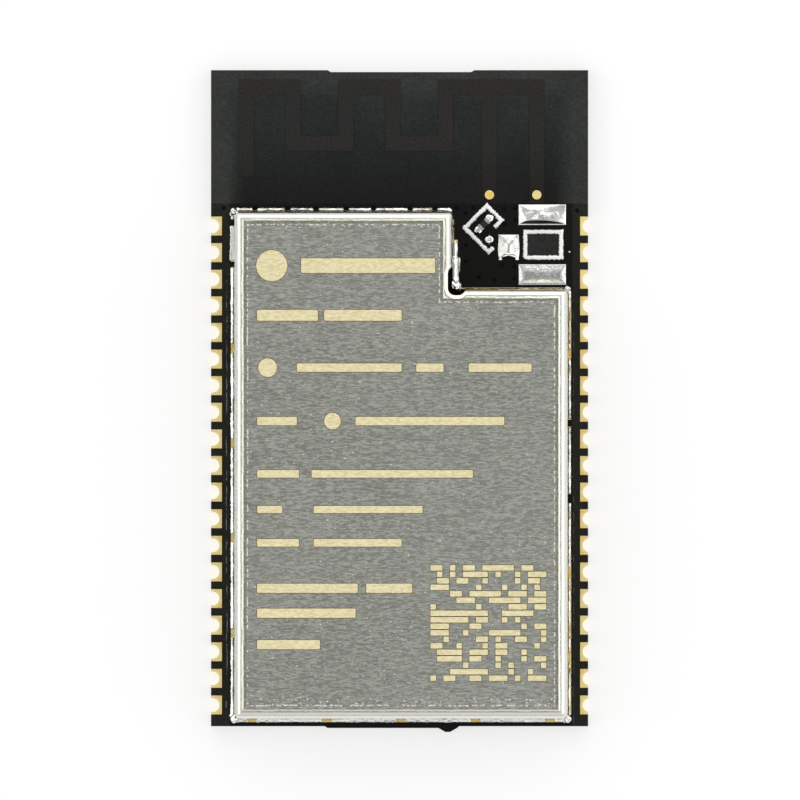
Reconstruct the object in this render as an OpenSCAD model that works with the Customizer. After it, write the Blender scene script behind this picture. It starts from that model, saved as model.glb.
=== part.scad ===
// A castellated wifi module: a board with a printed antenna, a folded shield can and the chips under it.
// Millimetres. The origin is under the middle of the board, +Y runs to the antenna edge and +Z up.

/* [Board] */
// Width of the board between its two castellated edges
board_w = 18; // [17.6:0.1:22]
// Length of the board from the antenna edge to the break-off strip
board_l = 31.4; // [30.4:0.1:36]
// Thickness of the board over the copper of both faces
board_t = 0.8; // [0.6:0.1:1.6]
// Thickness of the copper foil with its plating
copper_t = 0.04; // [0.035:0.005:0.07]
// Offset of the printed artwork from the routed outline, along X
art_shift = 0.07; // [0:0.01:0.1]
// Depth of the shallow routed recess in the antenna edge
recess_d = 0.09; // [0.05:0.01:0.2]
// Width of that recess
recess_w = 7; // [5:0.1:9]
// Height of the break-off strip on the far edge
strip_d = 0.085; // [0.05:0.005:0.2]
// Width of the break-off strip
strip_w = 6; // [5:0.1:8]
// Place of the break-off strip's middle along the far edge
strip_x = -0.58; // [-1:0.01:1]
// Height of the nub that the panel tab left beyond the strip
nub_d = 0.19; // [0.1:0.01:0.3]
// Width of the nub at its foot
nub_w = 0.9; // [0.6:0.05:1.5]
// Place of the nub's middle along the far edge
nub_x = 2.3; // [2.1:0.01:3]
// Run of the slopes at the ends of the recess and of the strip
cut_slope = 0.15; // [0.1:0.01:0.3]
// Diameter of the tented via dimples
via_d = 0.2; // [0.15:0.01:0.3]
// Depth of the tented via dimples
via_deep = 0.03; // [0.02:0.01:0.05]

/* [Edge pads] */
// Pitch of the plated half holes
pad_pitch = 1.27; // [1:0.01:1.5]
// Distance from the antenna edge to the centre of the first half hole
pad_start = 7.44; // [7:0.01:8.5]
// Least distance from the last half hole's centre to the far edge
pad_end = 1.1; // [0.9:0.05:2]
// Width of an edge pad along the edge
pad_w = 0.9; // [0.75:0.01:0.95]
// Length of an edge pad on the upper face
pad_l = 0.45; // [0.42:0.01:0.55]
// Length of an edge pad on the underside
pad_under_l = 0.85; // [0.6:0.01:1.2]
// Radius of the finished half hole
hole_r = 0.33; // [0.25:0.01:0.36]
// Thickness of the plating in the half hole
plating_t = 0.04; // [0.025:0.005:0.05]

/* [Ground pad on the underside] */
// Side of one ground square
ground_sq = 0.9; // [0.6:0.05:1]
// Gap between the ground squares
ground_gap = 0.5; // [0.3:0.05:0.6]
// Squares along each side of the grid
ground_n = 3; // [2:1:4]
// Distance from the board's left edge to the centre of the grid
ground_x = 7.5; // [7.2:0.1:8]
// Distance from the first pad's centre down to the centre of the grid
ground_y = 8.9; // [8.5:0.1:9.5]

/* [Antenna] */
// Width of the antenna trace
trace_w = 0.7; // [0.5:0.05:0.9]
// Height of the trace's relief under the mask
trace_rise = 0.025; // [0.015:0.005:0.035]
// Distance from the antenna edge to the trace
trace_edge = 0.45; // [0.3:0.05:0.6]
// Distance from the right edge to the middle of the ground leg
trace_side = 2.45; // [2.3:0.01:2.6]
// Depth of the meander between the middles of its rows
meander_d = 2.7; // [2.2:0.05:3.2]
// Distance between legs that join at the antenna edge
leg_near = 2.23; // [2:0.01:2.35]
// Distance between legs that join away from the antenna edge
leg_far = 2.53; // [2.3:0.01:2.6]
// Length of the open end beyond the meander's outer row
open_end = 4.3; // [3.9:0.05:4.6]
// Distance from the last meander leg to the feed leg
feed_dx = 2.09; // [1.9:0.01:2.3]
// Distance from the feed leg to the ground leg
ground_dx = 2.26; // [2:0.01:2.4]
// Length of the feed leg from the antenna edge
feed_l = 6.16; // [6.1:0.02:6.3]
// Length of the ground leg from the antenna edge
ground_l = 6.38; // [6.25:0.01:6.4]
// Diameter of the test points on both legs
test_d = 0.44; // [0.3:0.02:0.5]
// Distance from the antenna edge to the test points
test_y = 5.95; // [5.7:0.01:6]
// Width of the bare ring that the mask leaves round a land
mask_gap = 0.05; // [0.03:0.01:0.08]

/* [Shield can] */
// Distance from the board's long edges to the can
can_side = 1.05; // [1.02:0.01:1.3]
// Distance from the antenna edge to the can
can_start = 6.75; // [6.6:0.05:7.5]
// Distance from the can to the far edge
can_end = 0.45; // [0.4:0.05:0.8]
// Height of the can
can_h = 2.5; // [2.3:0.05:4]
// Thickness of the sheet
sheet_t = 0.15; // [0.12:0.01:0.25]
// Outer radius of the bend between the top and a wall
bend_r = 0.44; // [0.35:0.01:0.6]
// Outer radius of the upright corners
corner_r = 0.3; // [0.26:0.01:0.5]
// Width of the notch in the can's corner
notch_w = 5.5; // [5:0.1:5.6]
// Length of the notch in the can's corner
notch_l = 3.7; // [3.6:0.1:4]
// Reach of the corner relief into the can, across the notch's long wall
relief_in_x = 0.22; // [0.2:0.01:0.3]
// Reach of the corner relief into the can, across the notch's short wall
relief_in_y = 0.3; // [0.26:0.01:0.4]
// Reach of the corner relief outwards, along the notch's wide wall
relief_x = 0.63; // [0.5:0.01:0.8]
// Reach of the corner relief outwards, along the notch's long wall
relief_y = 1.09; // [0.8:0.01:1.3]
// Radius of the relief's ends
relief_r = 0.36; // [0.2:0.01:0.38]
// Width of the rim that is pressed down round the relief
rim_w = 0.16; // [0.1:0.01:0.2]
// Depth of that rim at the relief's edge
rim_d = 0.11; // [0.05:0.01:0.13]
// Width of the open seam at the upright corners
seam_w = 0.06; // [0.03:0.01:0.1]
// Radius of the arched notches in the can's foot
foot_r = 0.3; // [0.2:0.01:0.4]
// Pitch of the foot notches on the end wall
foot_pitch_x = 3.56; // [3:0.02:3.8]
// Pitch of the foot notches on the left wall
foot_pitch_y = 4.53; // [4:0.01:5]
// Distance from the can's end wall to the first foot notch of the left wall
foot_start = 4.1; // [3.5:0.1:5]
// Distances from the can's end wall to the foot notches of the right wall
foot_right = [2.95, 7, 17.4]; // [2:0.05:18]

/* [Shield land and solder] */
// Width of the shield land outside the can
land_out = 0.17; // [0.1:0.01:0.2]
// Width of the shield land outside the can, along the notch
land_notch = 0.07; // [0.05:0.01:0.1]
// Width of the shield land inside the can's outer face
land_in = 0.5; // [0.4:0.05:0.6]
// Width of the wide land that holds the notch's free wall
tab_land_w = 0.25; // [0.2:0.01:0.4]
// Length of that wide land
tab_land_l = 2.35; // [1.5:0.05:2.8]
// Height of the solder fillet on the can's wall
fillet_h = 0.4; // [0.25:0.05:0.6]

/* [Coax connector land] */
// Length of the two ground lands
coax_ground_l = 2.26; // [2:0.02:2.4]
// Width of the two ground lands
coax_ground_w = 0.98; // [0.8:0.02:1.05]
// Distance between the middles of the ground lands
coax_pitch = 2.86; // [2.7:0.02:2.9]
// Width of the signal land
coax_signal = 0.96; // [0.8:0.02:1]
// Length of the signal land
coax_signal_l = 1.22; // [0.9:0.02:1.3]
// Distance from the middle of the ground lands to the middle of the signal land, along X
coax_dx = 1.6; // [1.58:0.01:1.68]
// Distance from the connector's middle down to the middle of the signal land
coax_dy = 0.13; // [0:0.01:0.15]
// Distance from the notch's upper end to the middle of the connector
coax_y = 1.58; // [1.5:0.02:1.68]
// Distance from the right edge to the middle of the ground lands
coax_x = 2.19; // [2.16:0.01:2.4]
// Height of the solder dome on these lands
dome_h = 0.2; // [0.1:0.01:0.3]

/* [White print] */
// Width of the printed lines
print_w = 0.186; // [0.12:0.002:0.2]
// Thickness of the ink
print_t = 0.02; // [0.015:0.005:0.03]
// Width of the connector's printed frame
frame_w = 1.9; // [1.7:0.02:2]
// Length of the connector's printed frame
frame_l = 1.42; // [1.3:0.02:1.5]
// Distance from the signal land to the connector's printed frame
frame_gap = 0.22; // [0.15:0.01:0.3]

/* [Antenna selector] */
// Side of one selector land
sel_land = 0.33; // [0.28:0.01:0.36]
// Pitch of the selector lands
sel_pitch = 0.7; // [0.66:0.01:0.74]
// Height of the selector's resistor
sel_part_h = 0.23; // [0.2:0.01:0.3]
// Length of the selector's resistor
sel_part_l = 0.6; // [0.55:0.01:0.65]
// Width of the selector's resistor
sel_part_w = 0.3; // [0.25:0.01:0.32]
// Length of its end terminals
sel_cap_l = 0.15; // [0.1:0.01:0.2]
// Height of the solder on those terminals
sel_fillet_h = 0.18; // [0.1:0.01:0.22]
// Height of the solder drop on the empty land
sel_drop_h = 0.12; // [0.06:0.01:0.14]
// Distance from the signal land's middle to the selector frame's corner, along X
sel_dx = 2.1; // [2:0.01:2.15]
// Distance from the connector's middle up to the selector frame's corner
sel_dy = 0.8; // [0.7:0.01:0.85]
// Closed side of the printed frame
sel_side = 1.5; // [1.45:0.01:1.6]
// Long arm of the printed frame
sel_long = 1.62; // [1.55:0.01:1.7]
// Short arm of the printed frame
sel_short = 0.98; // [0.9:0.01:1.1]
// Return at the end of the long arm
sel_lip_long = 0.31; // [0.2:0.01:0.4]
// Return at the end of the short arm
sel_lip_short = 0.47; // [0.3:0.01:0.5]
// Place of the shared land across the printed frame
sel_u = 0.43; // [0.4:0.01:0.46]
// Place of the shared land along the printed frame
sel_v = 0.52; // [0.45:0.01:0.56]

/* [Chips] */
// Side of the main chip
chip_w = 5; // [4.6:0.1:5.4]
// Height of the main chip
chip_h = 0.85; // [0.75:0.05:1]
// Lead pitch of the main chip
chip_pitch = 0.35; // [0.35:0.01:0.4]
// Leads on each side of the main chip
chip_leads = 12; // [8:1:12]
// Width of the main chip's leads
chip_lead_w = 0.18; // [0.15:0.01:0.2]
// Length of the main chip's leads
chip_lead_l = 0.4; // [0.3:0.05:0.45]
// Thickness of the main chip's leadframe
chip_frame_t = 0.2; // [0.15:0.01:0.25]
// Side of the main chip's thermal pad
chip_pad = 3.3; // [2.8:0.1:3.5]
// Width of the flash chip's body, between its leads
flash_w = 5.28; // [5:0.02:5.4]
// Length of the flash chip's body
flash_l = 5.23; // [5.1:0.01:5.4]
// Height of the flash chip
flash_h = 1.9; // [1.7:0.05:2.05]
// Span of the flash chip over its leads
flash_span = 7.9; // [7.6:0.05:8.1]
// Width of the memory chip's body, between its leads
memory_w = 3.9; // [3.8:0.05:4]
// Length of the memory chip's body
memory_l = 4.9; // [4.7:0.05:5]
// Height of the memory chip
memory_h = 1.55; // [1.4:0.05:1.75]
// Span of the memory chip over its leads
memory_span = 6; // [5.8:0.05:6.2]
// Pitch of the gull-wing leads
lead_pitch = 1.27; // [1.1:0.01:1.3]
// Width of the gull-wing leads
lead_w = 0.41; // [0.3:0.01:0.45]
// Thickness of the gull-wing leads
lead_t = 0.18; // [0.12:0.01:0.22]
// Length of a lead's foot
lead_foot = 0.55; // [0.4:0.05:0.65]
// Gap under the moulded bodies
stand_off = 0.1; // [0.05:0.01:0.15]
// Lean of the moulded bodies' sides from their middle to their top
draft = 0.12; // [0.06:0.01:0.16]
// Clearance between neighbouring parts on the board
part_gap = 0.55; // [0.4:0.05:0.6]

/* [Crystal and small parts] */
// Length of the crystal
crystal_l = 3.2; // [3:0.05:3.4]
// Width of the crystal
crystal_w = 2.5; // [2.2:0.05:2.7]
// Height of the crystal
crystal_h = 0.7; // [0.6:0.05:0.9]
// Thickness of the crystal's metal lid
crystal_lid_t = 0.12; // [0.08:0.01:0.2]
// Width of the ceramic rim round the crystal's lid
crystal_rim = 0.15; // [0.1:0.01:0.25]
// Length of the small parts
small_l = 1; // [0.9:0.05:1.1]
// Width of the small parts
small_w = 0.5; // [0.45:0.01:0.55]
// Height of the capacitors and inductors
cap_h = 0.5; // [0.4:0.05:0.6]
// Height of the resistors
resistor_h = 0.33; // [0.25:0.01:0.4]
// Length of the end terminals of the small parts
terminal_l = 0.25; // [0.2:0.01:0.3]
// Length of a land beyond the part that stands on it
land_toe = 0.15; // [0.1:0.01:0.18]
// Pitch of the small parts in their rows
small_pitch = 1; // [0.95:0.01:1.1]

/* [Hidden] */
$fn = 48;

MASK = "#1d1d1b";
TRACE = "#2a2a28";
GOLD = "#d3af5b";
SILVER = "#c9ccc6";
SOLDER = "#e2e2de";
INK = "#f2f2f0";
MOULDING = "#242424";
CERAMIC = "#b99a76";
FERRITE = "#4a4a4c";

over = 0.1; // how far a cutting solid runs past what it cuts

// heights
core_top = board_t - copper_t; // upper face of the laminate, where the copper lies
top_z = board_t; // upper face of the copper, where the parts stand

// board edges
edge_x = board_w / 2;
edge_y = board_l / 2;
far_y = -edge_y;

// edge pads
pad_n = floor((board_l - pad_start - pad_end) / pad_pitch + 0.001) + 1;
drill_r = hole_r + plating_t;
function pad_y(i) = edge_y - pad_start - i * pad_pitch;

// ground pad
grid_x = -edge_x + ground_x;
grid_y = pad_y(0) - ground_y;
ground_step = ground_sq + ground_gap;

// antenna: the ground leg, the feed leg, and the meander's five legs counted from its open end
short_x = edge_x - trace_side;
feed_x = short_x - ground_dx;
leg_pair = leg_near + leg_far;
function leg_x(i) = feed_x - feed_dx - floor((4 - i) / 2) * leg_pair - (4 - i) % 2 * leg_far;
trace_y = edge_y - trace_edge; // outer side of the trace's outer row
inner_y = trace_y - trace_w / 2 - meander_d; // middle of the inner row

// shield can
can_x0 = -edge_x + can_side + art_shift;
can_x1 = edge_x - can_side + art_shift;
can_y0 = far_y + can_end;
can_y1 = edge_y - can_start;
notch_x = can_x1 - notch_w;
notch_y = can_y1 - notch_l;
can_mid = (can_x0 + can_x1) / 2;
can_top = top_z + can_h;
in_x0 = can_x0 + sheet_t;
in_x1 = can_x1 - sheet_t;
foot_nx = floor((can_x1 - can_x0 - 4 * foot_r) / foot_pitch_x / 2); // foot notches each side of the middle
foot_ny = floor((notch_y - can_y0 - foot_start) / foot_pitch_y);
foot_left = [for (i = [0:foot_ny]) foot_start + i * foot_pitch_y];
foot_end = notch_y - bend_r - can_y0; // no foot notch lies past this distance

// solder fillet: its width stops short of the land's rim
land_rim = 0.01;
fillet_w = land_out - land_rim;
fillet_notch_w = land_notch - land_rim;

// stretches where the mask crosses the shield land's outer rim: [side, distance from the can's start, width]
mask_bridges = [[-1, 0.53, 0.3], [-1, 2.52, 0.27], [1, 10.1, 0.33], [1, 13.7, 0.42]];

// coax connector
coax_mid_x = edge_x - coax_x;
coax_mid_y = can_y1 - coax_y;
signal_x = coax_mid_x - coax_dx;
signal_y = coax_mid_y - coax_dy;
frame_x0 = signal_x + coax_signal / 2 + frame_gap;

// antenna selector, on axes turned by 45 degrees about its frame's corner
sel_x = signal_x - sel_dx;
sel_y = coax_mid_y + sel_dy;
sel_places = [[sel_u, sel_v], [sel_u + sel_pitch, sel_v], [sel_u, sel_v + sel_pitch]];
sel_mid = sel_u + sel_pitch / 2; // middle of the resistor across the frame

// tented vias: a row in front of the can, and the stitching round the connector
via_row_x = [-0.52, 0.98, 2.53, 3.88, 5.33, 6.63, 8.38, 9.58, 10.58, 11.38]; // from the can's left wall
via_row_y = can_y1 + land_out;
via_stitch = [
  [-3.66, -0.08], [-1.81, 0.13], [-1.29, 0.15], [-1.29, -0.4], [-1.8, -0.62], [-3.64, -1.59], [-3.66, -2.39],
  [-3.02, -3.14], [-2.29, -3.29], [-1.91, -2.56], [-1.33, -2.63], [-1.33, -3.2], [1.67, 0.05]
]; // from the connector's middle and the can's start

// chips and small parts
chip_x = grid_x;
chip_y = grid_y;
flash_x = in_x0 + part_gap + flash_l / 2;
flash_y = chip_y - chip_w / 2 - part_gap - flash_span / 2;
memory_x = in_x1 - part_gap - memory_l / 2;
memory_y = flash_y;
crystal_x = in_x1 - part_gap - crystal_l / 2;
crystal_y = chip_y;

// rows of small parts: [x of the first, y of the first, step in x, step in y, count, turned]
first_row = chip_w / 2 + part_gap + small_l / 2; // from the chip's middle to the row next to it
next_row = small_l + part_gap;
cap_rows = [
  [chip_x - first_row, chip_y + 2 * small_pitch, 0, -small_pitch, 5, false],
  [chip_x - first_row - next_row, chip_y + 2 * small_pitch, 0, -small_pitch, 5, false],
  [crystal_x - small_pitch / 2, crystal_y - crystal_w / 2 - part_gap - small_l / 2, small_pitch, 0, 2, true]
];
inductor_rows = [
  [chip_x + small_pitch, chip_y + first_row, small_pitch, 0, 2, true],
  [chip_x + small_pitch, chip_y + first_row + next_row, small_pitch, 0, 2, true]
];
resistor_rows = [
  [chip_x - 2 * small_pitch, chip_y + first_row, small_pitch, 0, 3, true],
  [flash_x + flash_l / 2 + part_gap + small_w / 2, flash_y + next_row, 0, -next_row, 3, true]
];

// ---- shared shapes ----

// a rectangle between two corners, with round corners
module round_rect(x0, y0, x1, y1, r) {
  translate([x0 + r, y0]) square([x1 - x0 - 2 * r, y1 - y0]);
  translate([x0, y0 + r]) square([x1 - x0, y1 - y0 - 2 * r]);
  for (x = [x0 + r, x1 - r], y = [y0 + r, y1 - r]) translate([x, y]) circle(r);
}

// a profile drawn in X and Z, carried along Y between y0 and y1
module along_y(y0, y1) translate([0, y1, 0]) rotate([90, 0, 0]) linear_extrude(y1 - y0) children();

// a profile drawn in Y and Z, carried along X between x0 and x1
module along_x(x0, x1) translate([x0, 0, 0]) rotate([90, 0, 90]) linear_extrude(x1 - x0) children();

// a wall-to-wall profile whose two top corners are bent round
module bent_profile(a0, a1, z0, z1, r) {
  translate([a0, z0]) square([a1 - a0, z1 - z0 - r]);
  translate([a0 + r, z0]) square([a1 - a0 - 2 * r, z1 - z0]);
  for (a = [a0 + r, a1 - r]) translate([a, z1 - r]) circle(r);
}

// a block with bent top edges and round upright corners
module bent_block(x0, y0, x1, y1, z0, z1, bend, corner) intersection() {
  along_y(y0 - over, y1 + over) bent_profile(x0, x1, z0, z1, bend);
  along_x(x0 - over, x1 + over) bent_profile(y0, y1, z0, z1, bend);
  translate([0, 0, z0 - over]) linear_extrude(z1 - z0 + 2 * over) round_rect(x0, y0, x1, y1, corner);
}

// the can's L shape, drawn in by g all round
module can_body(g, z0, z1) {
  bent_block(can_x0 + g, can_y0 + g, notch_x - g, can_y1 - g, z0, z1, bend_r - g, corner_r - g);
  bent_block(can_x0 + g, can_y0 + g, can_x1 - g, notch_y - g, z0, z1, bend_r - g, corner_r - g);
}

// the L shape in plan: grown by g on the outer sides and by n on the notch's two sides
module can_plan(g, n) {
  translate([can_x0 - g, can_y0 - g]) square([notch_x + n - can_x0 + g, can_y1 - can_y0 + 2 * g]);
  translate([can_x0 - g, can_y0 - g]) square([can_x1 - can_x0 + 2 * g, notch_y + n - can_y0 + g]);
}

// one row of like parts
module row(r) for (i = [0:r[4] - 1])
  translate([r[0] + i * r[2], r[1] + i * r[3], 0]) rotate(r[5] ? 90 : 0) children();

// a line of ink along a list of points, with round ends
module stroke(points, w) {
  for (p = points) translate(p) circle(w / 2);
  for (i = [0:len(points) - 2]) {
    d = points[i + 1] - points[i];
    translate(points[i]) rotate(atan2(d[1], d[0])) translate([0, -w / 2]) square([norm(d), w]);
  }
}

// reflowed solder on a bare land: two crossed arches, which meet in a hipped pillow
module solder_pillow(w, l, h) intersection() {
  along_y(-l, l) arch(w, h);
  along_x(-w, w) arch(l, h);
}

// a segment of a circle on a chord w, h high
module arch(w, h) {
  r = (w * w / 4 + h * h) / (2 * h);
  intersection() {
    translate([0, h - r]) circle(r, $fn = 96);
    translate([-w / 2, 0]) square([w, h]);
  }
}

// ---- board ----

module board_outline() polygon([
  [-edge_x, edge_y],
  [art_shift - recess_w / 2, edge_y],
  [art_shift - recess_w / 2 + cut_slope, edge_y - recess_d],
  [art_shift + recess_w / 2 - cut_slope, edge_y - recess_d],
  [art_shift + recess_w / 2, edge_y],
  [edge_x, edge_y],
  [edge_x, far_y + strip_d],
  [nub_x + nub_w / 2 + strip_d, far_y + strip_d],
  [nub_x + nub_w / 2, far_y],
  [nub_x + nub_w / 8, far_y - nub_d],
  [nub_x - nub_w / 8, far_y - nub_d],
  [nub_x - nub_w / 2, far_y],
  [strip_x - strip_w / 2 + cut_slope, far_y],
  [strip_x - strip_w / 2, far_y + strip_d],
  [-edge_x, far_y + strip_d]
]);

// the underside's mask is level with its pads, so they lie in shallow pockets of the board
module circuit_board() color(MASK) difference() {
  linear_extrude(core_top) board_outline();
  for (side = [-1, 1], i = [0:pad_n - 1]) translate([side * edge_x, pad_y(i), 0]) {
    land_box(pad_under_l, -over, copper_t + over);
    translate([art_shift, 0, -over]) cylinder(r = drill_r, h = board_t + over);
  }
  ground_squares(-over, copper_t + over);
  translate([0, 0, core_top - via_deep]) {
    for (x = via_row_x) translate([can_x0 + x, via_row_y, 0]) cylinder(d = via_d, h = via_deep + over);
    for (v = via_stitch) translate([coax_mid_x + v[0], can_y1 + v[1], 0])
      cylinder(d = via_d, h = via_deep + over);
  }
}

// one plated half hole with its two lands, for the left (-1) or right (1) edge
module edge_pad(side) intersection() {
  difference() {
    union() {
      land_box(pad_l, core_top, copper_t);
      land_box(pad_under_l, 0, copper_t);
      translate([art_shift, 0, 0]) cylinder(r = drill_r, h = board_t);
    }
    translate([art_shift, 0, -over]) cylinder(r = hole_r, h = board_t + 2 * over);
  }
  translate([side > 0 ? -2 * pad_under_l : 0, -pad_w, -over])
    cube([2 * pad_under_l, 2 * pad_w, board_t + 2 * over]);
}

// the land's copper, drawn past the edge on both sides and trimmed there
module land_box(l, z, t) translate([art_shift - l, -pad_w / 2, z]) cube([2 * l, pad_w, t]);

module edge_pads(side) color(GOLD) for (i = [0:pad_n - 1])
  translate([side * edge_x, pad_y(i), 0]) edge_pad(side);

module ground_squares(z, t) for (i = [0:ground_n - 1], j = [0:ground_n - 1])
  translate([
    grid_x + (i - (ground_n - 1) / 2) * ground_step - ground_sq / 2,
    grid_y + (j - (ground_n - 1) / 2) * ground_step - ground_sq / 2, z
  ]) cube([ground_sq, ground_sq, t]);

module ground_pad_grid() color(GOLD) ground_squares(0, copper_t);

// ---- antenna ----

// a stretch of trace between two corners given by the middles of its ends
module trace(x0, y0, x1, y1) translate([min(x0, x1) - trace_w / 2, min(y0, y1) - trace_w / 2])
  square([abs(x1 - x0) + trace_w, abs(y1 - y0) + trace_w]);

module antenna_outline() {
  outer = trace_y - trace_w / 2;
  open_y = outer - open_end + trace_w / 2;
  trace(leg_x(0), open_y, leg_x(0), outer);
  for (i = [1:4]) trace(leg_x(i), inner_y, leg_x(i), outer);
  for (i = [0, 2]) trace(leg_x(i), outer, leg_x(i + 1), outer);
  for (i = [1, 3]) trace(leg_x(i), inner_y, leg_x(i + 1), inner_y);
  trace(leg_x(4), outer, short_x, outer);
  trace(feed_x, edge_y - feed_l + trace_w / 2, feed_x, outer);
  trace(short_x, edge_y - ground_l + trace_w / 2, short_x, outer);
}

module antenna_trace() color(TRACE) translate([0, 0, core_top]) linear_extrude(trace_rise) difference() {
  antenna_outline();
  for (x = [feed_x, short_x]) translate([x, edge_y - test_y]) circle(test_d / 2 + mask_gap);
}

module antenna_test_points() color(GOLD) for (x = [feed_x, short_x])
  translate([x, edge_y - test_y, core_top]) cylinder(d = test_d, h = copper_t);

// ---- shield ----

// each foot notch's place on the wall's outer face, with Y across the wall
module at_feet() {
  for (i = [-foot_nx:foot_nx]) translate([can_mid + i * foot_pitch_x, can_y0, top_z]) children();
  for (d = foot_left) if (d < foot_end) translate([can_x0, can_y0 + d, top_z]) rotate(90) children();
  for (d = foot_right) if (d < foot_end) translate([can_x1, can_y0 + d, top_z]) rotate(90) children();
}

// open seams where two folded walls meet, at the five outer corners
module corner_seams() for (c = [
  [can_x0, can_y0, 45], [can_x1, can_y0, 135], [can_x1, notch_y, 225],
  [notch_x, can_y1, 225], [can_x0, can_y1, 315]
]) translate([c[0], c[1], top_z - over]) rotate(c[2]) translate([0, -seam_w / 2, 0])
  cube([2 * corner_r, seam_w, can_h - bend_r + over]);

// the relief at the notch's inner corner, cut through, with the sheet's edge pressed down round it
module corner_relief() {
  x0 = notch_x - relief_in_x;
  y0 = notch_y - relief_in_y;
  x1 = notch_x + relief_x;
  y1 = notch_y + relief_y;
  translate([0, 0, top_z - over]) linear_extrude(can_h + 2 * over) round_rect(x0, y0, x1, y1, relief_r);
  for (x = [x0 + relief_r, x1 - relief_r], y = [y0 + relief_r, y1 - relief_r])
    translate([x, y, can_top - rim_d]) cylinder(r1 = relief_r, r2 = relief_r + rim_w, h = rim_d);
  along_y(y0 + relief_r, y1 - relief_r) rim_profile(x0, x1);
  along_x(x0 + relief_r, x1 - relief_r) rim_profile(y0, y1);
}

module rim_profile(a0, a1) polygon([
  [a0, can_top - rim_d], [a1, can_top - rim_d], [a1 + rim_w, can_top], [a0 - rim_w, can_top]
]);

module shield_can() color(SILVER) difference() {
  can_body(0, top_z, can_top);
  can_body(sheet_t, top_z - over, can_top - sheet_t);
  at_feet() rotate([90, 0, 0]) cylinder(r = foot_r, h = 4 * sheet_t, center = true);
  corner_seams();
  corner_relief();
}

module bridge_cuts(z, h) for (b = mask_bridges)
  translate([b[0] < 0 ? can_x0 - 2 * land_out : can_x1, can_y1 - b[1] - b[2] / 2, z])
    cube([2 * land_out, b[2], h]);

// the land under the can's foot: bare of copper at the relief and round each tented via
module shield_land() color(GOLD) difference() {
  translate([0, 0, core_top]) linear_extrude(copper_t) difference() {
    union() {
      can_plan(land_out, land_notch);
      translate([notch_x - land_in, notch_y - land_in]) square([land_in + tab_land_w, tab_land_l + land_in]);
    }
    can_plan(-land_in, -land_in);
    translate([notch_x - land_in, notch_y - land_in]) {
      square([land_in, land_in + relief_y]);
      square([land_in + relief_x, land_in]);
    }
    translate([notch_x, can_y1 - land_notch]) rotate(45) square([3 * land_out, 3 * land_out], center = true);
  }
  bridge_cuts(core_top - over, copper_t + 2 * over);
  via_clearance(core_top - over, copper_t + 2 * over, mask_gap);
}

module via_clearance(z, h, gap) for (x = via_row_x) translate([can_x0 + x, via_row_y, z])
  cylinder(r = via_d / 2 + gap, h = h);

// a fillet's cross-section on two opposite walls: w0 and w1 are its widths there
module fillet_profile(a0, a1, w0, w1) polygon([
  [a0 - w0, top_z], [a1 + w1, top_z], [a1 - w1, top_z + 2 * fillet_h], [a0 + w0, top_z + 2 * fillet_h]
]);

module fillet_block(x1, y1, wx, wy) intersection() {
  along_y(can_y0 - 1, y1 + 1) fillet_profile(can_x0, x1, fillet_w, wx);
  along_x(can_x0 - 1, x1 + 1) fillet_profile(can_y0, y1, fillet_w, wy);
}

// the fillet along the can, which stands back from each foot notch, and the wider one on the notch's wide land
module shield_solder() color(SOLDER) difference() {
  union() {
    fillet_block(notch_x, can_y1, fillet_notch_w, fillet_w);
    fillet_block(can_x1, notch_y, fillet_w, fillet_notch_w);
    along_y(notch_y, notch_y + tab_land_l) polygon([
      [notch_x - corner_r, top_z], [notch_x + tab_land_w, top_z], [notch_x, top_z + fillet_h],
      [notch_x - corner_r, top_z + fillet_h]
    ]);
  }
  translate([0, 0, top_z - over]) linear_extrude(can_h) {
    round_rect(can_x0, can_y0, notch_x, can_y1, corner_r);
    round_rect(can_x0, can_y0, can_x1, notch_y, corner_r);
  }
  bridge_cuts(top_z - over, can_h);
  via_clearance(top_z - over, can_h, 2 * mask_gap);
  at_feet() translate([0, 0, -over]) cylinder(r = foot_r, h = can_h);
  translate([notch_x - 4 * corner_r, notch_y + tab_land_l, top_z - over])
    cube([8 * corner_r, notch_l, can_h]);
}

// ---- coax connector land ----

module coax_ground_lands() color(GOLD) for (s = [-1, 1])
  translate([coax_mid_x - coax_ground_l / 2, coax_mid_y + s * coax_pitch / 2 - coax_ground_w / 2, core_top])
    cube([coax_ground_l, coax_ground_w, copper_t]);

module coax_signal_land() color(GOLD)
  translate([signal_x - coax_signal / 2, signal_y - coax_signal_l / 2, core_top])
    cube([coax_signal, coax_signal_l, copper_t]);

module coax_land_solder() color(SOLDER) {
  for (s = [-1, 1]) translate([coax_mid_x, coax_mid_y + s * coax_pitch / 2, top_z])
    solder_pillow(coax_ground_l, coax_ground_w, dome_h);
  translate([signal_x, signal_y, top_z]) solder_pillow(coax_signal, coax_signal_l, dome_h);
}

module coax_frame_print() color(INK) translate([0, 0, core_top]) linear_extrude(print_t) difference() {
  round_rect(frame_x0, coax_mid_y - frame_l / 2, frame_x0 + frame_w, coax_mid_y + frame_l / 2, print_w / 2);
  translate([frame_x0 + print_w, coax_mid_y - frame_l / 2 + print_w])
    square([frame_w - 2 * print_w, frame_l - 2 * print_w]);
}

// ---- antenna selector ----

// the selector's own axes: X across the frame, Y along it towards its open end
module at_selector(z) translate([sel_x, sel_y, z]) rotate(45) mirror([0, 1, 0]) children();

module selector_lands() color(GOLD) at_selector(core_top) for (p = sel_places)
  translate([p[0] - sel_land / 2, p[1] - sel_land / 2, 0]) cube([sel_land, sel_land, copper_t]);

module selector_resistor() color(MOULDING) at_selector(top_z)
  translate([sel_mid - sel_part_l / 2 + sel_cap_l, sel_v - sel_part_w / 2, 0])
    cube([sel_part_l - 2 * sel_cap_l, sel_part_w, sel_part_h]);

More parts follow.
